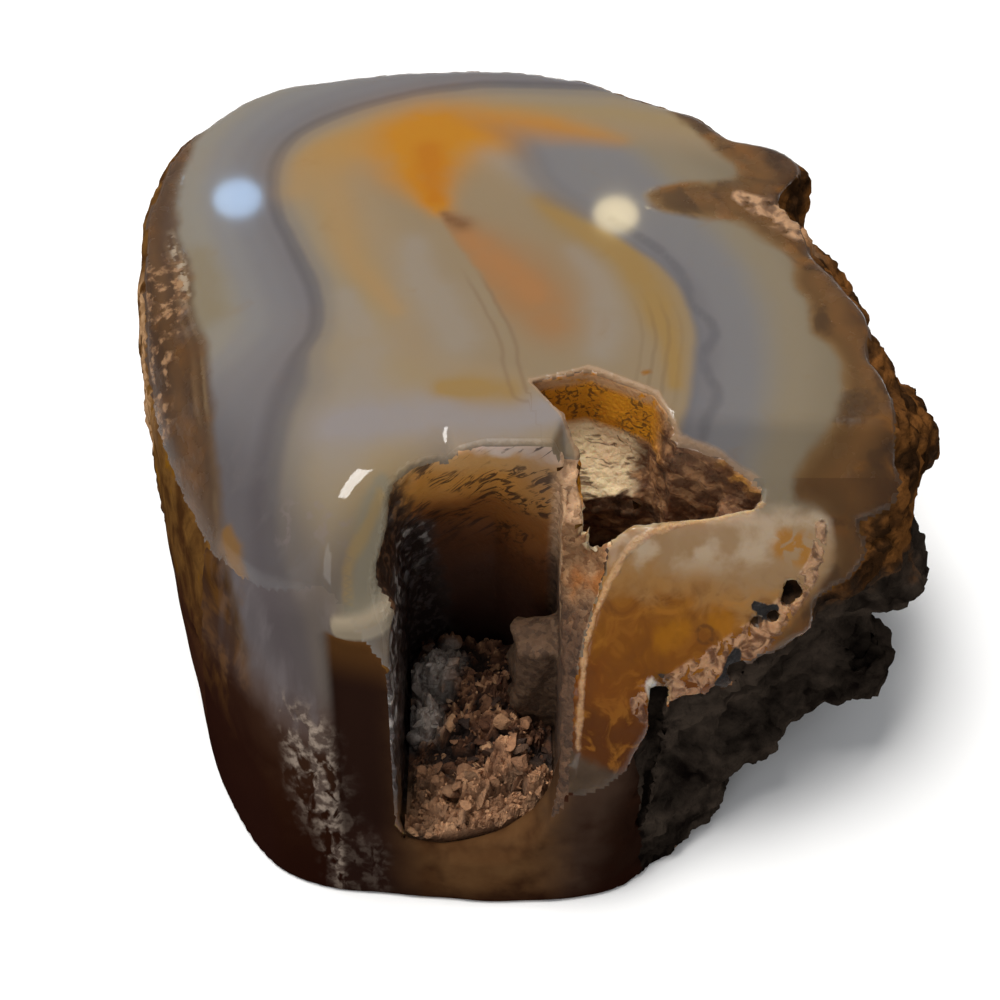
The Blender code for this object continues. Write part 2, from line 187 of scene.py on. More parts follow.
def smooth_line(points: Points, per_span: int = 8, closed: bool = False) -> Array:
    """Points along a smooth curve, open or closed, through a few given ones."""
    p = np.array(points, float)
    p = np.vstack([p[-1:], p, p[:2]] if closed else [2 * p[0] - p[1], p, 2 * p[-1] - p[-2]])
    t = np.linspace(0.0, 1.0, per_span, endpoint=False)[:, None]
    out = [0.5 * (2 * b + (c - a) * t + (2 * a - 5 * b + 4 * c - d) * t**2
                  + (3 * b - a - 3 * c + d) * t**3)
           for a, b, c, d in zip(p, p[1:], p[2:], p[3:])]
    return np.vstack(out if closed else out + [p[-2:-1]])


def line_distance(x: Array, y: Array, line: Array) -> tuple[Array, Array, Array]:
    """Distance in plan from a line.

    Args:
        x, y: places in plan.
        line: rows of x, y and any further values.

    Returns:
        The distance, the side (1 right of the line's run, -1 left of it), and the
        third value of the line's nearest point, or 0.
    """
    x, y = np.broadcast_arrays(x, y)
    best = np.full(x.shape, 1e9)
    side = np.ones(x.shape)
    extra = np.zeros(x.shape)
    for a, b in zip(line, line[1:]):
        ex, ey = b[0] - a[0], b[1] - a[1]
        t = np.clip(((x - a[0]) * ex + (y - a[1]) * ey) / (ex * ex + ey * ey), 0.0, 1.0)
        dx, dy = x - a[0] - t * ex, y - a[1] - t * ey
        far = dx * dx + dy * dy
        closer = far < best
        best = np.where(closer, far, best)
        side = np.where(closer, np.sign(ey * dx - ex * dy), side)
        if len(a) > 2:
            extra = np.where(closer, a[2] + t * (b[2] - a[2]), extra)
    return np.sqrt(best), side, extra


def outline_distance(x: Array, y: Array, outline: Points) -> Array:
    """Signed distance in plan from a closed outline, negative inside."""
    x, y = np.broadcast_arrays(x, y)
    best = np.full(x.shape, 1e9)
    odd = np.zeros(x.shape, bool)
    for (ax, ay), (bx, by) in zip(outline, outline[1:] + outline[:1]):
        ex, ey = bx - ax, by - ay
        t = np.clip(((x - ax) * ex + (y - ay) * ey) / (ex * ex + ey * ey), 0.0, 1.0)
        best = np.minimum(best, (x - ax - t * ex) ** 2 + (y - ay - t * ey) ** 2)
        spans = (ay > y) != (by > y)
        if ey != 0.0:
            odd ^= spans & (x < ax + (y - ay) * ex / ey)
    return np.where(odd, -1.0, 1.0) * np.sqrt(best)


def blob(x: Array, y: Array, line: Points) -> Array:
    """Soft patch along a line of x, y and half width: 1 in its middle, fading outwards."""
    far, _, half = line_distance(x, y, smooth_line(line))
    return np.exp(-1.3 * (far / np.maximum(half, 0.3)) ** 2)


@dataclass(frozen=True)
class Facet:
    """Ground facet: a point of its top edge, the plan direction it falls in, its slope."""

    point: tuple[float, float]
    way: tuple[float, float]
    slope: float

    def distance(self, x: Array, y: Array, z: Array) -> Array:
        """Distance above the facet's plane."""
        run = (x - self.point[0]) * self.way[0] + (y - self.point[1]) * self.way[1]
        return (z - TOP_EDGE + self.slope * run) / math.hypot(1.0, self.slope)


@dataclass(frozen=True)
class Nodule:
    """The outer form: natural skin, polished crown, facets and the knob's shoulder."""

    waist: float = 25.0
    brow: float = 45.0
    brow_round: float = 16.0
    crown_radius: float = 900.0
    crown_y: float = 2.0
    skin_slope: float = 0.92
    calm: float = 0.10
    rough_sides: Points = ((-58.0, 42.0, 18.0, 1.15), (60.0, 172.0, 16.0, 0.14))
    relief: Points = ((13.0, 0.4, 1.0), (7.5, 1.9, 0.55))
    left: Facet = Facet((-33.7, -11.3), (-0.790, -0.613), 1.19)
    corner: Facet = Facet((-19.0, -30.3), (0.590, -0.807), 1.30)
    knob: Facet = Facet((26.0, -19.1), (0.0, -1.0), 1.16)
    corner_reach: float = -8.0
    knob_reach: float = 4.5
    shoulder_edge: Triple = (7.6, -42.1, 22.5)
    shoulder_top: Triple = (10.1, -29.6, 37.0)
    shoulder_fall: float = 1.2
    shoulder_bulge: float = 2.2
    shoulder_back: float = -27.0
    shoulder_left: float = 2.9
    shoulder_right: float = 12.0
    plan: Points = (
        (-180, 45.0, 46.0, 43.8), (-165, 45.5, 45.0, 42.0), (-150, 47.0, 45.5, 40.5),
        (-135, 51.5, 46.5, 40.5), (-121, 54.8, 47.5, 39.5), (-105, 51.8, 45.5, 38.5),
        (-90, 50.8, 44.5, 37.5), (-77, 50.6, 45.0, 38.0), (-65, 47.2, 43.0, 38.0),
        (-50, 43.0, 42.5, 40.5), (-40, 40.0, 45.0, 42.5), (-28, 40.5, 49.5, 45.0),
        (-13, 40.0, 48.5, 41.0), (0, 39.0, 46.0, 39.5), (10, 38.5, 43.5, 38.5),
        (22, 39.0, 42.5, 38.0), (36, 42.0, 45.2, 42.6), (50, 44.0, 46.0, 43.0),
        (70, 46.0, 47.8, 43.6), (90, 48.0, 49.6, 46.6), (110, 50.0, 51.6, 49.0),
        (130, 51.0, 55.0, 54.0), (145, 49.0, 54.2, 53.0), (160, 46.0, 50.0, 48.5),
    )
    lumps: Points = (
        (-34.0, 13.5, 10.0, 7.5, 5.5), (-24.0, 24.0, 9.0, 7.0, 2.6),
        (-50.0, 9.0, 9.0, 6.5, 3.4), (20.0, 37.0, 8.0, 10.0, 3.2),
        (-6.0, 33.0, 8.0, 8.5, 2.4), (36.0, 41.0, 7.0, 8.0, 1.6),
        (-66.0, 18.0, 7.5, 9.0, -1.8), (28.0, 46.5, 4.5, 6.0, -1.8),
        (6.0, 20.0, 10.0, 7.0, 2.2), (38.0, 16.0, 11.0, 8.0, 2.0),
        (-55.0, 29.0, 11.0, 7.5, 2.8), (-43.0, 36.0, 9.0, 7.0, 2.2),
    )

    def plan_radius(self, angle: Array, level: int) -> Array:
        """Radius of one plan outline, a smooth closed curve through its points."""
        marks = np.radians([row[0] for row in self.plan] + [180.0])
        radii = np.array([row[level] for row in self.plan] + [self.plan[0][level]])
        span = np.diff(marks)
        chord = np.diff(radii) / span
        before, width = np.roll(chord, 1), np.roll(span, 1)
        slope = (chord * width + before * span) / (span + width)
        slope = np.append(slope, slope[0])
        turn = (angle + math.pi) % (2.0 * math.pi) - math.pi
        cell = np.clip(np.searchsorted(marks, turn, side="right") - 1, 0, len(span) - 1)
        t = (turn - marks[cell]) / span[cell]
        lead, tail = slope[cell] * span[cell], slope[cell + 1] * span[cell]
        return ((2 * t**3 - 3 * t**2 + 1) * radii[cell] + (t**3 - 2 * t**2 + t) * lead
                + (3 * t**2 - 2 * t**3) * radii[cell + 1] + (t**3 - t**2) * tail)

    def roughness(self, angle: Array) -> Array:
        """Height of the skin's relief, by the side of the stone."""
        height = self.calm
        for low, high, fade, more in self.rough_sides:
            height = height + more * bump(np.degrees(angle), low, high, fade)
        return height

    def plain_radius(self, x: Array, y: Array, z: Array) -> tuple[Array, Array]:
        """The skin's angle and radius without its relief."""
        angle = np.arctan2(y, x)
        s = z / self.waist
        base, waist, brow = (self.plan_radius(angle, level) for level in (1, 2, 3))
        radius = base * (1 - s) * (2 - s) / 2 + waist * s * (2 - s) + brow * s * (s - 1) / 2
        radius = radius - np.maximum(z - self.brow, 0.0) ** 2 / self.brow_round
        for degrees, level, half_width, half_height, reach in self.lumps:
            away = (angle - math.radians(degrees)) * radius / half_width
            radius = radius + reach * soft_step(1.0 - away**2 - ((z - level) / half_height) ** 2)
        return angle, radius

    def skin(self, x: Array, y: Array, z: Array) -> Array:
        """Distance outside the natural skin."""
        angle, radius = self.plain_radius(x, y, z)
        sx, sy = radius * np.cos(angle), radius * np.sin(angle)
        waves = sum(share * swell(sx, sy, z, wave, turn) for wave, turn, share in self.relief)
        return (np.hypot(x, y) - radius - self.roughness(angle) * waves) * self.skin_slope

    def crown(self, x: Array, y: Array, z: Array) -> Array:
        """Distance above the gently domed top."""
        return z - CREST + (x**2 + (y - self.crown_y) ** 2) / (2.0 * self.crown_radius)

    def shoulder(self, x: Array, y: Array, z: Array) -> Array:
        """Distance above the crusted shoulder left of the knob's face."""
        low, high = Vector(self.shoulder_edge), Vector(self.shoulder_top)
        normal = (high - low).cross(Vector((-1.0, 0.0, -self.shoulder_fall))).normalized()
        normal = normal if normal.z > 0 else -normal
        share = np.clip((y - low.y) / (high.y - low.y), 0.0, 1.0)
        bulge = self.shoulder_bulge * np.maximum(1.0 - ((share - 0.4) / 0.75) ** 2, 0.0)
        above = (x + bulge - low.x) * normal.x + (y - low.y) * normal.y + (z - low.z) * normal.z
        beyond = np.maximum(np.maximum(y - self.shoulder_back, self.shoulder_left - x),
                            x - self.shoulder_right)
        return above - 3.0 * np.maximum(beyond, 0.0)

    def knob_face(self, x: Array, y: Array, z: Array) -> Array:
        """Distance above the knob's ground face."""
        return self.knob.distance(x, y, z) - 2.0 * np.maximum(self.knob_reach - x, 0.0)

    def ground(self, x: Array, y: Array, z: Array) -> Array:
        """Distance above everything that was ground and polished."""
        corner = self.corner.distance(x, y, z) - 2.0 * np.maximum(x - self.corner_reach, 0.0)
        top = smooth_max(self.crown(x, y, z), self.left.distance(x, y, z), 4.0)
        top = smooth_max(top, corner, 2.0)
        return smooth_max(top, self.knob_face(x, y, z), 1.0)

    def whole(self, x: Array, y: Array, z: Array) -> Array:
        """Distance outside the stone before its hollows."""
        form = smooth_max(self.skin(x, y, z), self.ground(x, y, z), 1.6)
        form = smooth_max(form, self.shoulder(x, y, z), 0.8)
        return smooth_max(form, -z, 0.8)


@dataclass(frozen=True)
class MainHollow:
    """The open hollow in the front: two upright walls, a bowed back, a floor, a sill."""

    left: float = -13.9
    right: float = 4.4
    back: float = -21.0
    floor: float = 6.0
    bow: float = 4.5
    bow_height: float = 44.0
    bow_phase: float = 0.8
    bow_end: float = 3.0
    corner_start: float = -8.0
    corner_span: float = 6.0
    corner_turn: float = 3.5
    brow_all: float = 1.6
    brow_turn: float = 1.4
    brow_start: float = -4.0
    brow_span: float = 4.0
    lean: float = 1.3
    lean_height: float = 41.8
    lean_span: float = 2.6
    lip: float = 2.2
    lip_start: float = -47.0
    lip_span: float = 3.0
    sill: Points = (
        (-13.9, 12.0), (-12.2, 9.4), (-9.0, 8.2), (-2.0, 8.6), (1.5, 10.5), (3.2, 13.5),
        (4.4, 18.0),
    )
    sill_back_left: tuple[float, float] = (-11.0, -46.8)
    sill_back_right: tuple[float, float] = (4.0, -42.0)

    def back_wall(self, x: Array, z: Array) -> Array:
        """Depth of the back wall."""
        fall = np.clip((TOP_EDGE - z) / self.bow_height, 0.0, 1.0)
        corner = np.clip((self.corner_start - x) / self.corner_span, 0.0, 1.0)
        bow = self.bow * np.clip((self.bow_end - x) / self.corner_span, 0.0, 1.0)
        wave = bow * np.sin(fall * math.pi * self.bow_phase)
        brow = self.brow_turn * np.clip((self.brow_start - x) / self.brow_span, 0.0, 1.0)
        high = soft_step((z - 30.0) / 10.0)
        return self.back + wave - self.corner_turn * corner**2 - high * (self.brow_all + brow)

    def sill_back(self, x: Array) -> Array:
        """Depth of the sill's inner edge."""
        (left, deep), (right, near) = self.sill_back_left, self.sill_back_right
        t = np.clip((x - left) / (right - left), 0.0, 1.0)
        return deep + (near - deep) * t * t

    def air(self, x: Array, y: Array, z: Array) -> Array:
        """Distance outside the hollow's air."""
        left = self.left - self.lean * np.exp(-(((z - self.lean_height) / self.lean_span) ** 2))
        form = smooth_max(left - x, x - self.right, 1.0)
        form = smooth_max(form, y - self.back_wall(x, z), 1.6)
        form = smooth_max(form, self.floor - z, 1.5)
        xs, zs = zip(*self.sill)
        top = np.interp(x, xs, zs) - self.lip * soft_step((self.lip_start - y) / self.lip_span)
        sill = smooth_min(self.sill_back(x) - y, top - z, 1.6)
        return smooth_max(form, sill, 1.6)


@dataclass(frozen=True)
class SideHollow:
    """The smaller hollow behind the knob, with a grey sheet and stepped ledges."""

    outline: Points = (
        (1.1, -13.6), (7.3, -11.8), (14.3, -15.3), (16.5, -20.5), (21.7, -21.6),
        (26.0, -23.8), (25.0, -25.0), (19.2, -25.8), (12.5, -26.1), (9.2, -27.3),
        (6.4, -26.0), (6.2, -21.0),
    )
    pit: float = 20.0
    ledges: Points = ((12.0, 5.0), (15.5, 5.5), (19.0, 5.0), (22.5, 4.5))
    ledge_fade: float = 0.9
    ledge_lean: float = 0.45
    ledge_middle: float = -22.0
    shelf_front: float = -17.2
    shelf_back: float = -11.5
    shelf_top: float = 42.0
    shelf_drop: float = 1.25
    shelf_right: float = 17.0

    def ground(self, x: Array, y: Array) -> Array:
        """Height of the hollow's bottom."""
        along = x - self.ledge_lean * (y - self.ledge_middle)
        height = self.pit + 0.5 * np.sin(1.3 * x + 0.9 * y)
        for start, rise in self.ledges:
            height = height + rise * soft_step((along - start) / self.ledge_fade + 1.0)
        sheet = self.shelf_top - self.shelf_drop * (self.shelf_back - y)
        reach = soft_step((y - self.shelf_front) / 0.8 + 1.0) * (x < self.shelf_right)
        return height + reach * np.maximum(sheet - height, 0.0)

    def air(self, x: Array, y: Array, z: Array) -> Array:
        """Distance outside the hollow's air."""
        wall = outline_distance(x, y, self.outline)
        return smooth_max(wall, (self.ground(x, y) - z) * 0.7, 1.0)


@dataclass(frozen=True)
class Breaks:
    """What time and growth left: the stump, the crack and the pits."""

    stump_low: Triple = (-0.8, -31.0, 5.0)
    stump_high: Triple = (5.4, -25.0, 23.0)
    crack_top: Triple = (15.6, -40.0, 27.0)
    crack_foot: Triple = (13.6, -46.5, 9.0)
    crack_half: float = 0.65
    crack_deep: float = 4.0
    face_pits: Points = (
        (29.3, -31.2, 1.2), (25.8, -33.3, 0.7), (27.3, -33.0, 0.6), (23.6, -36.9, 1.0),
        (21.3, -38.6, 0.8),
    )
    rind_pits: Points = (
        (-146.0, 19.0, 1.5), (178.0, 39.0, 1.6), (-171.0, 35.5, 1.3), (-34.0, 19.0, 2.2),
        (-12.0, 26.0, 2.4), (30.0, 27.0, 2.2), (64.0, 20.0, 1.8),
    )

    def stump(self, x: Array, y: Array, z: Array) -> Array:
        """Distance outside the stub of broken crust on the hollow's right wall."""
        middle = [(a + b) / 2 for a, b in zip(self.stump_low, self.stump_high)]
        half = [(b - a) / 2 - 0.8 for a, b in zip(self.stump_low, self.stump_high)]
        out = [np.abs(v - m) - h for v, m, h in zip((x, y, z), middle, half)]
        beyond = sum(np.maximum(v, 0.0) ** 2 for v in out)
        inside = np.minimum(np.maximum(np.maximum(out[0], out[1]), out[2]), 0.0)
        return np.sqrt(beyond) + inside - 0.8 + 0.5 * swell(x, y, z, 5.0, 0.9)

    def crack(self, x: Array, y: Array, z: Array) -> Array:
        """Distance outside the crack between the knob and the rough side."""
        (tx, ty, tz), (fx, fy, fz) = self.crack_top, self.crack_foot
        share = np.clip((z - fz) / (tz - fz), 0.0, 1.0)
        middle = fx + share * (tx - fx) + 0.5 * np.sin(5.0 * share)
        width = self.crack_half * (0.55 + 0.9 * share)
        back = fy + share * (ty - fy) + self.crack_deep
        ends = np.maximum(fz - z, z - tz)
        return np.maximum(np.maximum(np.abs(x - middle) - width, y - back), ends)

    def pits(self, nodule: Nodule) -> list[tuple[float, float, float, float]]:
        """Centre and radius of every pit."""
        found = []
        for x, y, radius in self.face_pits:
            z = TOP_EDGE - nodule.knob.slope * (nodule.knob.point[1] - y)
            found.append((x, y, z, radius))
        for degrees, z, radius in self.rind_pits:
            angle = math.radians(degrees)
            x, y = math.cos(angle), math.sin(angle)
            _, out = nodule.plain_radius(np.array(x), np.array(y), np.array(z))
            out = float(out) + 0.2 * radius
            found.append((out * x, out * y, z, radius))
        return found


class Region(Enum):
    """Which face of the stone a place belongs to, in the order of its materials."""

    POLISH = 0
    FOOT = 1
    SKIN = 2
    HOLLOW = 3
    KNOB = 4
    SAWN = 5


@dataclass(frozen=True)
class Pattern:
    """The agate's bands and patches, drawn in plan because they stand upright."""

    line_left: Points = (
        (30.0, 37.0), (16.0, 41.0), (0.3, 42.4), (-11.6, 41.0), (-19.0, 38.2), (-24.8, 34.9),
        (-28.6, 31.0), (-30.2, 25.7), (-30.2, 19.1), (-28.9, 13.7), (-26.8, 8.0), (-24.4, 2.3),
        (-23.0, -2.4), (-23.0, -6.0), (-24.2, -9.4), (-24.9, -13.0), (-26.0, -17.4),
        (-27.1, -22.6), (-27.6, -27.4), (-27.0, -31.6), (-25.6, -36.0), (-23.8, -41.0),
        (-22.6, -60.0),
    )
    edge_near: Points = (
        (-9.0, 37.0), (-2.0, 31.0), (0.2, 27.0), (1.4, 22.1), (3.6, 18.0), (7.3, 14.3),
        (11.9, 9.7), (15.4, 5.6), (17.7, 1.6), (18.9, -2.6), (19.1, -6.6), (18.6, -11.4),
        (17.6, -16.6), (16.4, -20.4), (15.0, -28.0), (14.0, -60.0),
    )
    edge_far: Points = (
        (0.0, 38.0), (5.3, 32.2), (12.9, 28.0), (17.6, 21.4), (21.9, 13.7), (25.2, 6.4),
        (26.8, -0.4), (27.0, -6.9), (26.4, -13.1), (25.4, -19.4), (23.4, -26.0), (20.0, -60.0),
    )
    zigzag: Points = (
        (11.0, 13.4), (14.2, 10.4), (17.2, 6.8), (19.0, 2.6), (19.4, -1.4), (21.4, -4.4),
        (21.6, -6.8), (20.1, -9.2), (20.4, -12.5), (21.2, -15.4), (19.6, -19.0), (18.8, -24.0),
    )
    clear: Points = (
        (-25.0, -62.0), (-28.4, -44.0), (-30.0, -38.0), (-30.9, -33.0), (-32.3, -27.0),
        (-33.5, -20.0), (-34.6, -12.8), (-35.6, -6.0), (-37.8, 0.6), (-39.4, 6.6),
        (-41.2, 13.0), (-42.3, 18.4), (-42.3, 27.0), (-40.6, 33.5), (-36.4, 41.5),
        (-27.0, 47.5), (-14.0, 51.0), (-4.0, 52.0), (4.0, 50.5), (12.0, 46.0), (17.6, 39.2),
        (21.8, 33.6), (25.2, 27.6), (27.2, 23.9), (26.4, 21.8), (22.3, 20.9), (17.0, 19.5),
        (15.8, 17.6), (18.0, 15.6), (21.8, 14.6), (26.5, 13.2), (29.2, 10.2), (32.4, 6.4),
        (31.6, 2.6), (32.9, -0.8), (32.7, -5.1), (34.9, -8.2), (35.0, -12.8), (33.5, -19.0),
        (30.6, -22.2), (29.6, -24.2), (32.6, -25.4), (33.5, -28.9), (30.6, -32.4),
        (27.0, -35.8), (21.6, -38.8), (15.7, -43.0), (12.0, -52.0), (9.0, -62.0),
    )
    tan: Points = (
        (-27.0, 20.0, 3.2), (-25.5, 25.0, 4.4), (-21.0, 29.0, 6.0), (-14.0, 30.0, 7.6),
        (-6.0, 30.0, 7.0), (2.0, 29.6, 5.5), (9.0, 29.2, 3.6), (13.0, 28.8, 2.0),
    )
    tan_fall: Points = (
        (-24.0, 24.0, 3.6), (-21.6, 14.0, 3.2), (-19.7, 6.3, 2.6), (-16.9, 2.0, 2.0),
        (-14.1, -2.4, 1.4),
    )
    amber: Points = (
        (-14.5, 30.4, 3.0), (-11.5, 31.6, 4.6), (-7.5, 32.2, 5.2), (-3.0, 32.0, 5.0),
        (2.5, 31.2, 4.2), (7.5, 30.0, 3.2), (12.0, 28.8, 2.2),
    )
    amber_fall: Points = (
        (-12.2, 30.5, 7.0), (-12.6, 27.0, 7.0), (-12.0, 23.0, 5.6), (-10.8, 19.0, 3.6),
        (-9.6, 15.6, 1.8),
    )
    amber_deep: Points = ((-11.4, 27.5, 2.0), (-10.9, 22.0, 2.4), (-10.2, 17.5, 1.6))
    streak: Points = (
        (-8.8, 13.0, 2.2), (-6.6, 10.0, 3.8), (-3.8, 6.5, 5.0), (-1.0, 3.0, 6.0),
        (1.6, -0.8, 5.6), (3.4, -4.5, 3.8),
    )
    streak_warm: Points = ((-6.4, 10.4, 1.6), (-3.4, 6.6, 2.4), (-0.4, 3.0, 2.6), (1.6, 0.0, 2.0))
    streak_line: Points = (
        (-9.8, 15.0), (-7.4, 9.0), (-5.3, 5.1), (-3.4, 0.7), (-1.9, -3.4), (-0.6, -7.5),
        (-0.3, -10.9), (0.6, -15.0),
    )
    streak_head: Points = ((-9.2, 14.2, 0.9), (-7.0, 12.6, 1.5))
    grey: Points = ((-4.0, 27.0, 2.4), (0.0, 23.5, 2.8), (2.8, 19.5, 2.2))
    grey_low: Points = ((-12.5, 9.0, 2.4), (-11.5, 3.0, 3.0), (-9.1, -1.5, 3.6), (-7.1, -7.0, 3.4))
    grey_mid: Points = ((-20.0, 0.0, 1.6), (-17.0, -9.0, 3.4), (-18.0, -17.0, 4.4), (-19.0, -24.0, 4.0))
    grey_right: Points = ((6.5, 7.5, 1.8), (9.2, 2.0, 3.0), (9.6, -4.0, 3.4), (9.0, -9.0, 2.4))
    ochre: Points = (
        (2.6, 17.4, 1.6), (5.9, 13.1, 2.4), (9.1, 10.1, 2.4), (12.0, 7.0, 2.6), (14.4, 2.0, 3.0),
        (15.6, -3.0, 2.6), (16.6, -8.0, 1.7), (16.6, -14.0, 1.0),
    )
    ochre_low: Points = ((-8.5, -14.6, 1.6), (-5.1, -14.8, 2.6), (-1.5, -15.2, 2.4))
    outer_ochre: Points = ((-38.0, 8.0, 2.0), (-36.5, 3.0, 2.6), (-34.6, -2.0, 2.2))
    milk: Points = (
        (-20.0, -20.0, 3.0), (-14.0, -19.0, 4.0), (-8.0, -18.6, 4.6), (-2.0, -18.4, 4.4),
        (3.6, -18.0, 2.6),
    )
    pale_strip: Points = ((-14.6, -27.0, 1.0), (-15.6, -31.0, 2.0), (-15.8, -35.0, 2.4), (-16.6, -38.2, 3.0))
    strip_line: Points = ((-14.7, -28.2), (-16.0, -31.0), (-17.8, -34.2), (-18.0, -36.8))
    yellow_rind: Points = ((-31.9, -26.6, 0.9), (-30.9, -29.5, 1.2), (-29.9, -32.0, 0.9))
    speckle: Points = ((-24.3, -29.2, 2.4), (-19.7, -31.0, 3.0))
    chalk: Points = (
        (-25.6, -39.0, 1.6), (-23.6, -42.0, 3.0), (-21.2, -45.0, 2.6), (-19.8, -47.6, 2.4),
        (-16.5, -48.6, 1.6),
    )
    pink: Points = ((27.0, 18.4, 1.2), (31.0, 15.4, 2.6), (34.0, 12.4, 2.6))
    spot: Points = ((13.3, -12.4), (14.0, -12.1))
    knob_line: Points = (
        (6.3, -42.6), (6.4, -41.2), (6.7, -37.9), (7.0, -34.7), (8.4, -32.0), (9.7, -30.2),
        (12.6, -27.4), (19.0, -25.9), (25.8, -24.9),
    )
    knob_yellow: Points = ((15.4, -34.6, 1.5), (17.4, -33.9, 1.3))
    knob_yellow_far: Points = ((21.0, -33.0, 1.2), (22.4, -33.4, 1.1))
    knob_yellow_top: Points = ((28.0, -27.6, 1.3), (30.4, -28.2, 1.5))
    knob_deep: Points = ((9.4, -38.0, 3.0), (12.0, -34.4, 3.0), (16.0, -36.2, 2.2), (20.0, -35.2, 1.6))
    knob_flake: Points = (
        (13.4, -39.4, 1.5), (16.6, -38.6, 1.6), (19.6, -37.2, 1.5), (22.8, -35.6, 1.3),
        (26.0, -34.2, 1.4), (28.4, -32.6, 1.2), (31.6, -29.4, 0.9), (32.2, -26.6, 0.7),
    )
    knob_white: Points = ((14.2, -38.0, 0.9), (14.8, -39.8, 0.7))
    knob_black: Points = ((23.4, -35.7, 0.8), (22.4, -37.2, 0.8), (21.2, -38.6, 0.7))
    knob_holes: Points = ((25.3, -32.2, 0.5), (26.8, -32.7, 0.6), (27.6, -32.4, 0.5))
    knob_ring: Triple = (20.0, -34.3, 0.95)
    sided: tuple[str, ...] = ("line_left", "edge_near", "edge_far", "streak_line")
    plain: tuple[str, ...] = ("zigzag", "strip_line", "knob_line")
    blobs: tuple[tuple[str, ...], ...] = (
        ("amber", "amber_fall"), ("tan", "tan_fall"), ("ochre", "ochre_low"),
        ("grey", "grey_low", "grey_mid", "grey_right"), ("knob_black", "knob_holes"),
        ("knob_yellow", "knob_yellow_far", "knob_yellow_top"), ("amber_deep",), ("streak",),
        ("streak_warm",), ("streak_head",), ("outer_ochre",), ("milk",), ("pale_strip",),
        ("yellow_rind",), ("speckle",), ("chalk",), ("pink",), ("knob_deep",), ("knob_flake",),
        ("knob_white",),
    )

    def marks(self, x: Array, y: Array, side: SideHollow) -> dict[str, Array]:
        """Values that the materials turn into colour, at each place."""
        made = {}
        for name in self.sided:
            far, hand, _ = line_distance(x, y, smooth_line(getattr(self, name)))
            made[name] = -far * hand
        for name in self.plain:
            made[name] = line_distance(x, y, smooth_line(getattr(self, name), 4))[0]
        made["rind"] = outline_distance(x, y, tuple(map(tuple, smooth_line(self.clear, 4, True))))
        made["rim"] = np.abs(outline_distance(x, y, side.outline))
        for lines in self.blobs:
            clear = np.prod([1.0 - blob(x, y, getattr(self, line)) for line in lines], axis=0)
            made[lines[0]] = 1.0 - clear
        ring_x, ring_y, radius = self.knob_ring
        made["knob_ring"] = np.abs(np.hypot(x - ring_x, (y - ring_y) * 1.5) - radius)
        made["spot"] = line_distance(x, y, np.array(self.spot))[0]
        return made


def ticks(spans: Points, high: float) -> Array:
    """Grid lines that are close where the detail is: rows of start and spacing."""
    out = []
    for (start, step), end in zip(spans, [row[0] for row in spans[1:]] + [high]):
        count = max(1, round((end - start) / step))
        out.append(np.linspace(start, end, count, endpoint=False))
    return np.append(np.concatenate(out), high)


def skin_net(xs: Array, ys: Array, zs: Array, form: Array) -> tuple[Array, Array]:
    """Surface where a distance on a grid is 0, as a net of quads.

    Args:
        xs, ys, zs: the grid's lines.
        form: the distance at the grid's points.

    Returns:
        The net's points and its quads, which face the positive side.
    """
    inside = form < 0
    corners = [(i, j, k) for i in (0, 1) for j in (0, 1) for k in (0, 1)]
    shape = tuple(n - 1 for n in form.shape)

    def window(i: int, j: int, k: int) -> Array:
        """One corner of every cell: whether it is inside."""
        return inside[i:i + shape[0], j:j + shape[1], k:k + shape[2]]

    count = sum(window(*c).astype(np.int8) for c in corners)
    active = (count > 0) & (count < 8)
    home = np.nonzero(active)
    number = np.full(shape, -1)
    number[active] = np.arange(len(home[0]))
    total = np.zeros((len(home[0]), 3))
    hits = np.zeros(len(home[0]))
    for a in corners:
        for b in corners:
            if sum(b) - sum(a) != 1 or any(q < p for p, q in zip(a, b)):
                continue
            ia, ib = (tuple(h + o for h, o in zip(home, c)) for c in (a, b))
            fa, fb = form[ia], form[ib]
            cross = (fa < 0) != (fb < 0)
            t = np.where(cross, fa / np.where(cross, fa - fb, 1.0), 0.0)
            pa, pb = (np.stack([xs[i[0]], ys[i[1]], zs[i[2]]], 1) for i in (ia, ib))
            total += np.where(cross[:, None], pa + t[:, None] * (pb - pa), 0.0)
            hits += cross
    quads = []
    for axis in range(3):
        u, v = (axis + 1) % 3, (axis + 2) % 3
        low = [slice(1, -1)] * 3
        high = [slice(1, -1)] * 3
        low[axis], high[axis] = slice(0, -1), slice(1, None)
        here, there = inside[tuple(low)], inside[tuple(high)]
        spot = [n.copy() for n in np.nonzero(here != there)]
        flip = ~here[tuple(spot)]
        spot[u] += 1
        spot[v] += 1
        ring = []
        for du, dv in ((-1, -1), (0, -1), (0, 0), (-1, 0)):
            cell = list(spot)
            cell[u] = cell[u] + du
            cell[v] = cell[v] + dv
            ring.append(number[tuple(cell)])
        ring = np.stack(ring, 1)
        ring[flip] = ring[flip][:, ::-1]
        quads.append(ring)
    return total / hits[:, None], np.concatenate(quads)


def add_object(name: str, data: bpy.types.ID) -> bpy.types.Object:
    """Object with some data, linked to the scene."""
    thing = bpy.data.objects.new(name, data)
    bpy.context.scene.collection.objects.link(thing)
    return thing


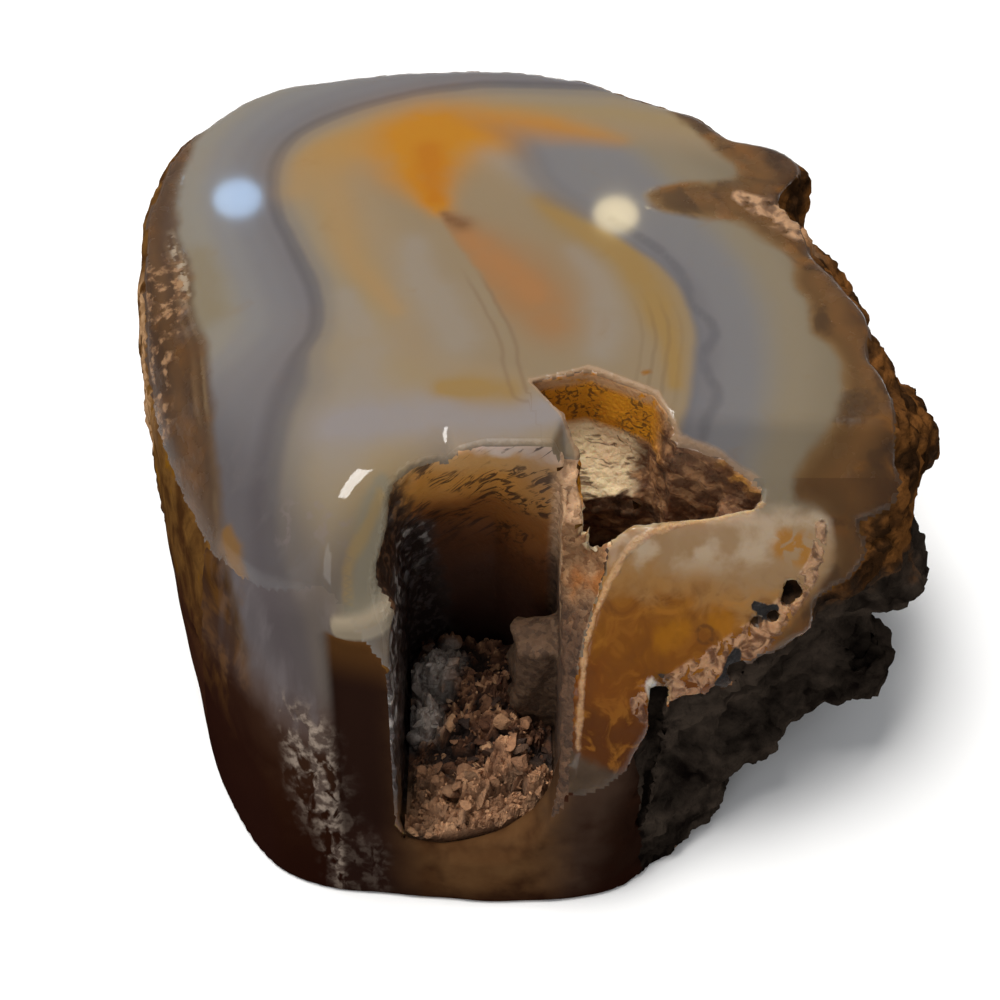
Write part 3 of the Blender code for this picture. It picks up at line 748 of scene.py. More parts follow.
def mesh_object(name: str, points: Array, faces: Array,
                marks: dict[str, Array]) -> bpy.types.Object:
    """Mesh object in metres from points in millimetres round the axis.

    Args:
        name: the piece's name.
        points: its points.
        faces: its faces, as rows of point numbers.
        marks: a value for each point, under the names that the materials read.

    Returns:
        The object, shaded smooth and linked to the scene.
    """
    mesh = bpy.data.meshes.new(name)
    mesh.from_pydata(((points - CENTRE) * MM).tolist(), [], faces.tolist())
    for mark, value in marks.items():
        layer = mesh.attributes.new(mark, "FLOAT", "POINT")
        layer.data.foreach_set("value", np.ascontiguousarray(value, np.float32))
    mesh.shade_smooth()
    mesh.update()
    return add_object(name, mesh)


def largest_part(points: Array, faces: Array) -> tuple[Array, Array]:
    """The biggest connected part of a net, leaving out specks."""
    label = np.arange(len(points))
    while True:
        low = label[faces].min(axis=1)
        update = label.copy()
        for column in faces.T:
            np.minimum.at(update, column, low)
        update = update[update]
        if np.array_equal(update, label):
            break
        label = update
    home = np.bincount(label).argmax()
    keep = label == home
    number = np.cumsum(keep) - 1
    return points[keep], number[faces[keep[faces].all(axis=1)]]


@dataclass
class Stone:
    """The polished agate in one piece."""

    name: str = "agate_stone"
    nodule: Nodule = Nodule()
    hollow: MainHollow = MainHollow()
    side: SideHollow = SideHollow()
    breaks: Breaks = Breaks()
    pattern: Pattern = Pattern()
    noise: Noise = field(default_factory=Noise)
    x_lines: Points = ((-52.0, 0.95), (-17.0, 0.5), (34.0, 0.75))
    y_lines: Points = ((-52.0, 0.5), (-9.0, 0.95))
    z_lines: Points = ((-0.6, 0.6), (4.0, 0.62))
    reach: float = 53.0
    inner: tuple[str, ...] = ("hollow", "side", "shoulder", "partition")
    tolerance: float = 0.12
    settle_most: float = 0.4
    block: float = 3.1            # size of the matrix's broken blocks
    stump_top: float = 26.0
    hollow_top: float = 30.0      # above it, ground faces win over the hollow's walls
    sill_top: float = 20.0
    zone_fade: float = 0.7
    ledge_level: float = 38.9
    ledge_half: float = 1.3
    ledge_rise: float = 0.7
    recess_top: float = 37.5
    recess_deep: float = 0.9
    nick: Triple = (31.0, 15.5, 3.2)
    margin: float = 0.005         # kept clear inside the stone's box
    broken: tuple = (             # a zone's shares of coarse, fine and blocks, and its level
        ("matrix", 0.50, 0.40, 0.45, -0.35), ("back", 0.16, 0.12, 0.10, 0.0),
        ("partition", 0.55, 0.50, 0.0, -0.25),
    )

    def distance(self, x: Array, y: Array, z: Array) -> Array:
        """Distance outside the stone."""
        form = self.nodule.whole(x, y, z)
        form = smooth_max(form, -self.hollow.air(x, y, z), 0.5)
        form = smooth_max(form, -self.side.air(x, y, z), 0.5)
        form = smooth_min(form, self.breaks.stump(x, y, z), 0.6)
        form = smooth_max(form, -self.breaks.crack(x, y, z), 0.3)
        for px, py, pz, radius in self.breaks.pits(self.nodule):
            air = radius * (1.0 + 0.3 * swell(x, y, z, 1.9, 0.4))
            air = air - np.sqrt((x - px) ** 2 + (y - py) ** 2 + (z - pz) ** 2)
            form = smooth_max(form, air, 0.4)
        return form

    def slope(self, p: Array, step: float) -> tuple[Array, Array]:
        """The distance at points and the way out from the stone there."""
        here = self.distance(*p.T)
        rise = np.zeros_like(p)
        for axis in range(3):
            more = p.copy()
            more[:, axis] += step
            rise[:, axis] = (self.distance(*more.T) - here) / step
        return here, rise

    def settle(self, p: Array) -> tuple[Array, Array]:
        """Move net points onto the stone's surface; give them and the way out."""
        for _ in range(2):
            here, rise = self.slope(p, self.tolerance)
            steep = np.maximum(np.einsum("ij,ij->i", rise, rise), 0.25)
            move = np.clip(here / steep, -self.settle_most, self.settle_most)
            p = p - move[:, None] * rise
        _, rise = self.slope(p, self.tolerance)
        return p, rise / np.maximum(np.linalg.norm(rise, axis=1, keepdims=True), 1e-6)

    def zones(self, p: Array) -> dict[str, Array]:
        """How much of each kind of face a place is, from 0 to 1."""
        x, y, z = p.T
        degrees = np.degrees(np.arctan2(y, x))
        near = {
            "ground": self.nodule.ground(x, y, z),
            "shoulder": self.nodule.shoulder(x, y, z),
            "hollow": -self.hollow.air(x, y, z),
            "side": -self.side.air(x, y, z),
        }
        zone = {key: soft_step(1.0 + (value + 0.05) / self.zone_fade) for key, value in near.items()}
        zone["sawn"] = soft_step(1.0 - z / 0.5)
        zone["stump"] = soft_step(1.0 + (0.2 - self.breaks.stump(x, y, z)) / 0.6)
        zone["hollow"] = np.maximum(zone["hollow"], zone["stump"] * (z < self.stump_top))
        zone["hollow"] *= 1.0 - zone["ground"] * (z > self.hollow_top)
        lip = soft_step((self.hollow.sill_back(x) + 0.4 - y) / 0.6) * (z < self.sill_top)
        zone["hollow"] *= 1.0 - lip
        zone["side"] *= 1.0 - zone["ground"]
        zone["shoulder"] = zone["shoulder"] * (1.0 - zone["ground"]) * (x > 2.0) * (x < 13.0)
        zone["knob"] = zone["ground"] * soft_step(self.nodule.knob_face(x, y, z) / self.zone_fade + 1.0)
        zone["knob"] = np.maximum(zone["knob"] * (y < -23.0),
                                  zone["ground"] * (y < -37.0) * (x > 2.0))
        broken = bump(x, 4.2, 6.7, 0.6) * bump(y, -27.5, -22.2, 1.0) * zone["ground"]
        zone["partition"] = broken
        for key in ("ground", "knob", "side"):
            zone[key] = zone[key] * (1.0 - broken)
        inner = np.maximum.reduce([zone[key] for key in self.inner])
        zone["skin"] = np.clip(1.0 - zone["ground"] - zone["sawn"] - inner, 0.0, 1.0)
        natural = np.clip(zone["skin"] + zone["shoulder"], 0.0, 1.0)
        zone["matrix"] = natural * bump(degrees, -68.0, 34.0, 12.0)
        zone["back"] = zone["skin"] * bump(degrees, 52.0, 160.0, 12.0)
        zone["front"] = zone["skin"] * bump(degrees, -140.0, -76.0, 6.0)
        left = zone["skin"] * (1.0 - bump(degrees, -160.0, 165.0, 14.0))
        zone["left_rind"] = left * (1.0 - zone["front"])
        return zone

    def ledge(self, x: Array, y: Array, z: Array) -> Array:
        """1 on the rounded pale ledge over the dark pillar, 0 away from it."""
        level = np.exp(-(((z - self.ledge_level) / self.ledge_half) ** 2))
        return bump(x, -19.2, -14.0, 1.2) * soft_step((-33.0 - y) / 2.0) * level

    def relief(self, p: Array, zone: dict[str, Array]) -> Array:
        """Height of the fine broken relief, by the kind of face."""
        x, y, z = p.T
        coarse = self.noise.layers(p, 5.2, 3)
        fine = self.noise.layers(p + 40.0, 1.9, 2, 0.6)
        edge, grain = self.noise.cells(p, self.block)
        blocks = soft_step(edge / 0.9) * (0.5 + grain) - 0.75
        layered = np.abs((z + 0.35 * x + 1.2 * coarse) % 1.6 - 0.8) - 0.4
        patches = soft_step(0.4 + 1.6 * self.noise.wave(p + 9.0, 11.0))
        left = patches * (0.30 * coarse + 0.35 * fine) + 0.06 * coarse
        crusty = soft_step((-10.2 - x) / 1.5) * zone["hollow"]
        hollow = 0.10 * coarse + crusty * (0.22 * fine + 0.15 * coarse) + 0.05 * fine
        ledge = 0.55 * layered + 0.30 * fine + 0.20 * coarse
        sheet = soft_step((y + 17.0) / 1.0) * zone["side"]
        sugar = 0.24 * fine + 0.20 * coarse
        height = zone["left_rind"] * left
        for key, rough, small, parted, level in self.broken:
            height += zone[key] * (rough * coarse + small * fine + parted * blocks + level)
        height += np.clip(zone["hollow"] - zone["stump"], 0.0, 1.0) * hollow
        height += zone["side"] * (ledge * (1.0 - sheet) + 0.10 * coarse * sheet)
        height += np.maximum(zone["shoulder"], zone["stump"] * (z < self.stump_top)) * sugar
        height += self.ledge_rise * self.ledge(x, y, z)
        recess = soft_step((self.recess_top - z) / 1.2) * soft_step((z - 8.0) / 3.0) * zone["front"]
        height -= recess * bump(x, -20.2, -13.0, 1.2) * self.recess_deep
        nick_x, nick_y, nick_half = self.nick
        nick = np.exp(-1.3 * (np.hypot(x - nick_x, y - nick_y) / nick_half) ** 2)
        height += nick * (0.4 * fine - 0.25)
        return height

    def build(self) -> bpy.types.Object:
        """Make the stone's mesh, with its marks and a material slot for each region."""
        xs, ys = ticks(self.x_lines, self.reach), ticks(self.y_lines, self.reach)
        zs = ticks(self.z_lines, CREST + 0.8)
        form = self.distance(xs[:, None, None], ys[None, :, None], zs[None, None, :])
        points, faces = largest_part(*skin_net(xs, ys, zs, form))
        points, out = self.settle(points)
        zone = self.zones(points)
        points = points + out * self.relief(points, zone)[:, None]
        low, high = (np.array(corner) / MM + CENTRE for corner in CAD_BOX)
        points = np.clip(points, low + self.margin, high - self.margin)
        marks = self.marks(points, zone)
        stone = mesh_object(self.name, points, faces, marks)
        stone.data.polygons.foreach_set("material_index", self.regions(faces, zone))
        LOG.info("%s: %d points, %d quads", self.name, len(points), len(faces))
        return stone

    def marks(self, p: Array, zone: dict[str, Array]) -> dict[str, Array]:
        """Every value that the stone's materials read, at its points."""
        x, y, z = p.T
        marks = self.pattern.marks(x, y, self.side)
        for key in ("matrix", "left_rind", "side", "shoulder", "stump", "partition"):
            marks["zone_" + key] = zone[key]
        marks["rim_main"] = self.hollow.air(x, y, z)
        marks["natural"] = np.clip(zone["left_rind"] + zone["back"] + zone["matrix"], 0.0, 1.0)
        marks["ledge"] = self.ledge(x, y, z)
        marks["grain_edge"], _ = self.noise.cells(p, self.block)
        return marks

    def regions(self, faces: Array, zone: dict[str, Array]) -> Array:
        """Material slot of each face."""
        share = {key: zone[key][faces].mean(axis=1) for key in zone}
        inner = np.maximum.reduce([share[key] for key in self.inner])
        region = np.full(len(faces), Region.SKIN.value)
        region[share["front"] > 0.5] = Region.FOOT.value
        region[share["ground"] > 0.5] = Region.POLISH.value
        region[share["knob"] > 0.5] = Region.KNOB.value
        region[inner > 0.5] = Region.HOLLOW.value
        region[share["sawn"] > 0.5] = Region.SAWN.value
        return region


def shows(red: float, green: float, blue: float, light: float) -> Colour:
    """Surface colour that shows as the usual 0 to 255 values under so much light."""
    scaled = (v / 255.0 for v in (red, green, blue))
    linear = (v / 12.92 if v <= 0.04045 else ((v + 0.055) / 1.055) ** 2.4 for v in scaled)
    return (*(min(v / light, 0.95) for v in linear), 1.0)


@dataclass
class Bench:
    """Short ways to place and join shader nodes in one tree.

    A tint is red, green and blue from 0 to 255 as they show, and then the light that
    falls there where it isn't the bench's. Sizes and heights are in millimetres.
    """

    tree: bpy.types.NodeTree
    light: float = 1.6

    def node(self, kind: str, given: dict[str | int, Input] | None = None,
             **settings: object) -> bpy.types.Node:
        """Add a node, set its properties and give inputs by name or number."""
        made = self.tree.nodes.new(kind)
        for key, value in settings.items():
            setattr(made, key, value)
        for key, value in (given or {}).items():
            self.join(value, made.inputs[key])
        return made

    def join(self, value: Input, socket: Socket) -> None:
        """Link a socket, or set a number or a tint."""
        if isinstance(value, Socket):
            self.tree.links.new(value, socket)
        else:
            socket.default_value = self.shown(value) if isinstance(value, tuple) else value

    def shown(self, tint: Tint) -> Colour:
        """Surface colour of a tint."""
        return shows(*tint[:3], light=tint[3] if len(tint) > 3 else self.light)

    def mark(self, name: str) -> Socket:
        """A mark of the mesh."""
        return self.node("ShaderNodeAttribute", attribute_name=name).outputs["Fac"]

    def place(self) -> Socket:
        """The place on the object, in metres."""
        return self.node("ShaderNodeTexCoord").outputs["Object"]

    def axis(self, name: str) -> Socket:
        """The place along X, Y or Z."""
        parts = self.node("ShaderNodeSeparateXYZ", {0: self.place()})
        return self.math("MULTIPLY", parts.outputs[name], 1.0 / MM)

    def math(self, how: str, *values: Input, clamp: bool = False) -> Socket:
        """Arithmetic on numbers."""
        given = dict(enumerate(values))
        return self.node("ShaderNodeMath", given, operation=how, use_clamp=clamp).outputs[0]

    def total(self, *terms: tuple[Input, float]) -> Socket:
        """Sum of values, each times its number."""
        out: Input = 0.0
        for value, share in terms:
            out = self.math("MULTIPLY_ADD", value, share, out)
        return out

    def times(self, *values: Input) -> Input:
        """Product of values."""
        return reduce(lambda a, b: self.math("MULTIPLY", a, b), values)

    def most(self, *values: Input) -> Input:
        """Largest of several values."""
        return reduce(lambda a, b: self.math("MAXIMUM", a, b), values)

    def span(self, value: Input, low: float, high: float) -> Socket:
        """0 at low, 1 at high, smooth between."""
        given = {"Value": value, "From Min": low, "From Max": high}
        return self.node("ShaderNodeMapRange", given, interpolation_type="SMOOTHSTEP").outputs["Result"]

    def along(self, name: str, low: float, high: float) -> Socket:
        """Span of the place along X, Y or Z."""
        return self.span(self.axis(name), low, high)

    def edge(self, low: float, high: float, value: Input, *worn: tuple[Input, float]) -> Socket:
        """Span of a value, its edge worn by others times their numbers."""
        return self.span(self.total((value, 1.0), *worn) if worn else value, low, high)

    def marked(self, name: str, low: float, high: float, *worn: tuple[Input, float]) -> Socket:
        """Span of a mark, its edge worn by values times their numbers."""
        return self.edge(low, high, self.mark(name), *worn)

    def ramp(self, value: Input, *stops: tuple[float, Tint]) -> Socket:
        """Tints at given values, blended between."""
        low, high = stops[0][0], stops[-1][0]
        scaled = self.math("DIVIDE", self.math("SUBTRACT", value, low), high - low, clamp=True)
        made = self.node("ShaderNodeValToRGB", {"Fac": scaled})
        band = made.color_ramp
        band.interpolation = "EASE"
        while len(band.elements) < len(stops):
            band.elements.new(0.5)
        for element, (at, tint) in zip(band.elements, stops):
            element.position = (at - low) / (high - low)
            element.color = self.shown(tint)
        return made.outputs["Color"]

    def mix(self, share: Input, first: Input, second: Input) -> Socket:
        """Blend of two colours."""
        made = self.node("ShaderNodeMix", data_type="RGBA", clamp_factor=True)
        sockets = {s.name: s for s in made.inputs if s.enabled}
        for value, name in ((share, "Factor"), (first, "A"), (second, "B")):
            self.join(value, sockets[name])
        return next(o for o in made.outputs if o.enabled)

    def layers(self, colour: Input, *coats: tuple[Input, ...]) -> Input:
        """Lay coats over a colour, each a tint and the shares that say where it lies."""
        for tint, *shares in coats:
            colour = self.mix(self.times(*shares), colour, tint)
        return colour

    def noise(self, size: float, detail: float = 3.0, twist: float = 0.0,
              place: Input | None = None) -> Socket:
        """Cloudy value from 0 to 1 with lumps about size apart."""
        place = self.place() if place is None else place
        given = {"Vector": place, "Scale": 1.0 / (size * MM), "Detail": detail, "Distortion": twist}
        return self.node("ShaderNodeTexNoise", given).outputs["Fac"]

    def ripple(self, *kind: float) -> Socket:
        """Cloudy value round 0, of a noise's size, detail and twist."""
        return self.math("SUBTRACT", self.noise(*kind), 0.5)

    def patches(self, low: float, high: float, *kind: Input) -> Socket:
        """Span of a noise of some size, detail, twist and place."""
        return self.span(self.noise(*kind), low, high)

    def stretch(self, scale: Triple, turn: Triple = (0.0, 0.0, 0.0)) -> Socket:
        """The place for streaky textures, long where the turned axis's scale is small."""
        made = self.node("ShaderNodeMapping", {"Vector": self.place()}, vector_type="TEXTURE")
        made.inputs["Rotation"].default_value = turn
        made.inputs["Scale"].default_value = tuple(1.0 / v for v in scale)
        return made.outputs["Vector"]

    def group(self, tree: bpy.types.NodeTree, **values: Input) -> bpy.types.Node:
        """Place a shared group and give its inputs."""
        return self.node("ShaderNodeGroup", values, node_tree=tree)

    def bumped(self, height: Input, deep: float) -> Socket:
        """Normal from a height of 0 to 1 that is so deep."""
        given = {"Distance": deep * MM, "Height": height}
        return self.node("ShaderNodeBump", given).outputs["Normal"]


FLOAT, COLOUR = "NodeSocketFloat", "NodeSocketColor"
STREAKY, FLAKY = (1.0, 1.0, 0.12), (1.0, 1.0, 0.6)     # stretches of an upright texture
Kinds = tuple[tuple[str, str], ...]
Made = dict[str, Socket]
Painted = "tuple[Input, Input | None, Input | None]"


@dataclass(frozen=True)
class SharedGroup:
    """A node group that several finishes share: its input, if any, and its outputs."""

    name: str
    given: str = ""
    usual: float | Tint = 0.0
    outputs: Kinds = (("Color", COLOUR),)

    def draw(self, b: Bench, given: Socket | None) -> Made:
        """The outputs, by name."""
        raise NotImplementedError

    def build(self) -> bpy.types.NodeTree:
        """Make the group."""
        tree = bpy.data.node_groups.new(self.name, "ShaderNodeTree")
        b = Bench(tree)
        if self.given:
            kind = COLOUR if isinstance(self.usual, tuple) else FLOAT
            socket = tree.interface.new_socket(self.given, in_out="INPUT", socket_type=kind)
            b.join(self.usual, socket)
        for key, kind in self.outputs:
            tree.interface.new_socket(key, in_out="OUTPUT", socket_type=kind)
        start, out = b.node("NodeGroupInput"), b.node("NodeGroupOutput")
        given = start.outputs[self.given] if self.given else None
        for key, value in self.draw(b, given).items():
            b.join(value, out.inputs[key])
        return tree


@dataclass(frozen=True)
class BandGroup(SharedGroup):
    """The agate's inner colour, shared by every face that cuts through it."""

    name: str = "agate_bands"
    patches: tuple = (
        ("grey", (152, 139, 124), 0.75), ("amber", (190, 126, 18), 1.0),
        ("amber_deep", (182, 108, 0), 0.7), ("streak", (158, 116, 74), 0.9),
        ("streak_warm", (174, 118, 66), 0.5), ("streak_head", (112, 74, 40), 0.7),
        ("milk", (150, 142, 141), 0.85), ("ochre", (156, 124, 70), 0.9),
        ("outer_ochre", (134, 112, 66), 0.4),
    )
    edges: tuple = (("line_left", 1.6, 0.35), ("edge_near", 1.6, 0.45), ("edge_far", 3.0, 0.5))
    thin_lines: Points = ((1.7, 0.30), (0.1, 0.34))

    def draw(self, b: Bench, given: Socket | None) -> Made:
        """The bands' colour."""
        slow, fine, deep = b.ripple(16.0, 2.0), b.ripple(2.6), b.axis("Y")
        left, near, far = (b.total((b.mark(name), 1.0), (slow, wide), (fine, small))
                           for name, wide, small in self.edges)
        left = b.times(left, b.total((b.span(deep, -6.0, -14.0), -0.5), (1.0, 1.0)))
        colour = b.ramp(
            left, (-15.0, (138, 126, 104)), (-10.0, (142, 135, 124)), (-7.0, (133, 129, 127)),
            (-4.0, (124, 120, 121)), (-1.4, (119, 114, 115)), (-0.3, (104, 98, 99)),
            (0.4, (110, 104, 102)), (1.4, (136, 125, 112)), (3.4, (150, 134, 110)),
            (6.0, (156, 134, 98)), (10.0, (154, 133, 104)), (16.0, (148, 128, 100)))
        tan = b.math("ADD", b.mark("tan"), b.times(slow, 0.3), clamp=True)
        colour = b.layers(
            colour, ((166, 134, 90), tan, 0.85),
            ((178, 134, 66), b.span(tan, 0.35, 1.0), b.span(deep, 20.0, 30.0), 0.55))
        warp = b.total((b.noise(7.0, 3.0, 0.5), 0.9), (fine, 0.5))
        seam = b.mark("streak_line")
        edge = b.edge(-0.7, 0.6, seam, (fine, 0.8))
        for name, tint, most in self.patches:
            share = b.math("MULTIPLY", b.mark(name), b.math("ADD", warp, 0.66), clamp=True)
            if name.startswith("streak"):
                share = b.times(share, edge)
            colour = b.layers(colour, (tint, share, most))
        for away, most in self.thin_lines:
            thin = b.math("ABSOLUTE", b.total((seam, 1.0), (fine, 0.5), (away, 1.0)))
            thin = b.times(b.span(thin, 0.5, 0.0), b.span(deep, 6.0, 0.0), most)
            colour = b.layers(colour, ((118, 90, 66), thin))
        rings = b.times(b.math("SINE", b.times(near, 4.2)),
                        b.span(b.math("ABSOLUTE", b.math("ADD", near, 3.5)), 3.6, 1.0))
        olive = b.ramp(far, (0.0, (136, 126, 112)), (3.0, (140, 126, 104)), (8.0, (132, 118, 96)))
        blue = b.ramp(near, (0.0, (108, 105, 109)), (1.6, (118, 114, 115)),
                      (4.0, (125, 121, 121)), (7.5, (126, 122, 121)))
        blue = b.layers(blue, ((96, 92, 96), b.marked("zigzag", 1.1, 0.1, (fine, 0.9)), 0.5))
        beyond = b.mix(b.span(far, -2.2, 1.4), blue, olive)
        start = b.edge(35.0, 25.0, deep, (far, 0.35), (slow, 4.0))
        soft = b.total((b.span(deep, 6.0, 18.0), -0.78), (1.0, 1.0))
        begin = b.span(b.times(b.math("SUBTRACT", near, 0.4), soft), -0.8, 0.6)
        return {"Color": b.layers(
            colour, ((150, 96, 20), b.marked("spot", 0.55, 0.0, (fine, 0.5)), 0.9),
            ((116, 94, 66), rings, b.span(deep, 2.0, -5.0), 0.28), (beyond, begin, start))}


@dataclass(frozen=True)
class RindGroup(SharedGroup):
    """Brown rind round the clear agate, with thin lines along its inner edge."""

    name: str = "agate_rind"
    given: str = "Inner"
    usual: Tint = (150, 130, 110)
    outputs: Kinds = (("Color", COLOUR), ("Rind", FLOAT))

    def draw(self, b: Bench, given: Socket | None) -> Made:
        """The colour with its rind, and where the rind is."""
        across, ahead = b.axis("X"), b.axis("Y")
        deep = b.total((b.mark("rind"), 1.0), (b.ripple(8.0, 3.0, 0.4), 2.2), (b.ripple(1.8), 0.5))
        lined = b.ramp(
            deep, (0.0, (90, 64, 40)), (0.45, (124, 100, 70)), (0.8, (88, 62, 36)),
            (1.5, (110, 82, 52)), (2.1, (80, 54, 30)), (3.4, (96, 66, 36)), (5.0, (74, 48, 24)),
            (8.0, (84, 54, 26)))
        plain = b.ramp(deep, (0.0, (100, 76, 52)), (1.2, (82, 56, 32)), (3.0, (90, 60, 30)),
                       (6.0, (62, 38, 16)))
        golden = b.ramp(deep, (0.0, (122, 92, 54)), (1.4, (104, 72, 34)), (3.2, (112, 76, 36)),
                        (6.0, (82, 52, 22)))
        plain = b.mix(b.span(across, 0.0, 10.0), plain, golden)
        left = b.edge(-38.8, -40.6, across, (ahead, -0.09))
        crumb = b.mix(b.patches(0.4, 0.6, 0.8, 5.0), (104, 72, 44), (168, 128, 90))
        inner = b.span(b.math("ABSOLUTE", b.math("SUBTRACT", deep, 0.7)), 0.9, 0.2)
        brown = b.layers(
            plain,
            (lined, b.span(across, -18.0, -26.0), b.span(ahead, 14.0, 6.0),
             b.patches(0.40, 0.54, 14.0, 2.0)),
            ((128, 82, 30), b.patches(0.52, 0.70, 5.0, 4.0, 0.6),
             b.total((b.span(across, 0.0, 20.0), 0.4), (0.3, 1.0))),
            (crumb, left, b.span(ahead, 9.0, 4.0), b.span(ahead, -22.0, -15.0),
             b.patches(0.48, 0.60, 1.5, 7.0)),
            ((176, 158, 134), inner, b.span(ahead, 14.0, 9.0), b.span(ahead, -2.0, 4.0),
             b.span(across, -20.0, -26.0), b.patches(0.46, 0.56, 1.2, 5.0), 0.9),
            ((58, 37, 18), b.patches(0.50, 0.38, 6.5, 4.0, 0.8), b.span(across, 10.0, 20.0), 0.6))
        rind = b.span(deep, -1.0, 0.5)
        return {"Color": b.mix(rind, given, brown), "Rind": rind}


@dataclass(frozen=True)
class GrainGroup(SharedGroup):
    """Fine broken grain: a height and a value that varies from speck to speck."""

    name: str = "stone_grain"
    given: str = "Scale"
    usual: float = 900.0
    outputs: Kinds = (("Height", FLOAT), ("Speck", FLOAT))
    shake: float = 1.2
    detail: float = 6.0

    def draw(self, b: Bench, given: Socket | None) -> Made:
        """The height and the speck's value."""
        cloud = b.node("ShaderNodeTexNoise", {"Vector": b.place(), "Scale": given, "Detail": self.detail})
        shaken = b.node("ShaderNodeVectorMath", {0: cloud.outputs["Color"], 2: b.place()},
                        operation="MULTIPLY_ADD")
        shaken.inputs[1].default_value = (self.shake * MM,) * 3
        cell = b.node("ShaderNodeTexVoronoi", {"Vector": shaken.outputs[0], "Scale": given}, feature="F1")
        speck = b.node("ShaderNodeSeparateColor", {0: cell.outputs["Color"]})
        height = b.total((cell.outputs["Distance"], -0.4), (cloud.outputs["Fac"], 1.0))
        return {"Height": height, "Speck": speck.outputs[0]}


@dataclass(frozen=True)
class PaleGroup(SharedGroup):
    """Pale strip with its yellow line, and the cream ledge at its foot."""

    name: str = "pale_ledge"
    given: str = "Inner"
    usual: Tint = (120, 110, 100)

    def draw(self, b: Bench, given: Socket | None) -> Made:
        """The colour with the strip and the ledge."""
        fine = b.ripple(2.6)
        level = b.edge(37.4, 39.0, b.axis("Z"), (fine, 1.5))
        return {"Color": b.layers(
            given,
            ((152, 142, 120, 1.9), b.marked("pale_strip", 0.15, 0.8, (fine, 0.25)), level, 0.85),
            ((180, 148, 92, 1.9), b.marked("strip_line", 0.8, 0.1, (fine, 0.9)), level, 0.6),
            ((198, 180, 152, 2.2), b.marked("ledge", 0.15, 0.6, (fine, 0.2))))}


@dataclass
class Groups:
    """The shared node groups, built once."""

    bands: bpy.types.NodeTree = field(default_factory=lambda: BandGroup().build())
    rind: bpy.types.NodeTree = field(default_factory=lambda: RindGroup().build())
    grain: bpy.types.NodeTree = field(default_factory=lambda: GrainGroup().build())
    pale: bpy.types.NodeTree = field(default_factory=lambda: PaleGroup().build())


@dataclass(frozen=True)
class Finish:
    """One surface on a Principled shader, with its roughness, shine and light under it."""

    name: str
    rough: float = 0.5
    shine: float = 0.5
    glow: float = 0.0
    glow_reach: Triple = (3.0, 2.0, 1.2)
    light: float = 1.6            # light that falls there, for its tints
    bend: float = 1.54            # how strongly it bends light
    grains: float = 1100.0        # grains to the metre
    grain_deep: float = 0.3       # height of its relief in millimetres

    def paint(self, b: Bench, groups: Groups) -> Painted:
        """Its colour, roughness and relief, with none for a plain roughness or relief."""
        raise NotImplementedError

    def grain(self, b: Bench, groups: Groups) -> tuple[Socket, Socket]:
        """The shared grain at this surface's size: its height and its specks."""
        made = b.group(groups.grain, Scale=self.grains)
        return made.outputs["Height"], made.outputs["Speck"]

    def build(self, groups: Groups) -> bpy.types.Material:
        """Make the material."""
        made = bpy.data.materials.new(self.name)
        made.use_nodes = True
        shader = made.node_tree.nodes["Principled BSDF"]
        shader.inputs["Roughness"].default_value = self.rough
        shader.inputs["IOR"].default_value = self.bend
        shader.inputs["Specular IOR Level"].default_value = self.shine
        shader.inputs["Subsurface Weight"].default_value = self.glow
        shader.inputs["Subsurface Radius"].default_value = self.glow_reach
        shader.inputs["Subsurface Scale"].default_value = MM
        b = Bench(made.node_tree, self.light)
        colour, rough, height = self.paint(b, groups)
        b.join(colour, shader.inputs["Base Color"])
        if rough is not None:
            b.join(rough, shader.inputs["Roughness"])
        if height is not None:
            b.join(b.bumped(height, self.grain_deep), shader.inputs["Normal"])
        return made


@dataclass(frozen=True)
class PolishFinish(Finish):
    """Ground and polished agate, darker on the facets and lower down with painted shade."""

    name: str = "agate_polish"
    rough: float = 0.06
    shine: float = 0.3
    glow: float = 0.35
    grain_deep: float = 0.25

    def paint(self, b: Bench, groups: Groups) -> Painted:
        """Its colour, roughness and relief."""
        up, fine = b.axis("Z"), b.ripple(5.0, 4.0, 0.5)
        # facet: the facets below the top's edge, painted darker as shade where they face away from the light
        facet = b.times(b.span(up, 49.3, 43.0), b.along("X", 6.0, -2.0))
        # lighter streaks of painted sheen on the facets
        sheen_streaks = b.patches(0.5, 0.75, 3.0, 3.0, 0.3, b.stretch(STREAKY))
        frost = b.times(b.marked("speckle", 0.2, 0.8), b.patches(0.52, 0.66, 1.4, 5.0))
        bands = b.layers(
            b.group(groups.bands).outputs["Color"], ((82, 73, 74), facet, 0.55),
            ((124, 116, 114), facet, sheen_streaks, 0.3), ((140, 126, 122), frost, 0.4))
        rind = b.group(groups.rind, Inner=bands)
        pink = b.times(b.marked("pink", 0.2, 0.6), b.patches(0.40, 0.5, 2.6, 4.0))
        flesh = b.mix(b.patches(0.36, 0.62, 1.6, 6.0, 0.8), (128, 94, 66), (196, 152, 112))
        colour = b.layers(
            rind.outputs["Color"],
            ((140, 98, 34), b.marked("yellow_rind", 0.2, 0.95, (fine, 1.6)), 0.8),
            # darker lower down: partly the stone's own darker foot, partly painted shade
            ((92, 81, 78), b.edge(38.0, 31.0, up, (fine, 6.0)), 0.5),
            (flesh, pink))
        rim = b.marked("rim", 0.75, 0.2, (fine, 1.2))
        natural = b.marked("natural", 0.14, 0.30)
        colour = b.layers(b.group(groups.pale, Inner=colour).outputs["Color"],
                          ((178, 142, 106), rim, 0.8), ((72, 46, 22, 1.4), natural))
        brown = rind.outputs["Rind"]
        worn = b.times(brown, b.patches(0.5, 0.72, 3.0, 4.0), 0.5)
        worn = b.most(worn, pink, rim, b.marked("rim_main", 1.0, 0.3))
        rough = b.total((worn, 0.5), (b.times(brown, 0.2), 1.0), (natural, 0.4), (self.rough, 1.0))
        return colour, rough, b.times(self.grain(b, groups)[0], worn)


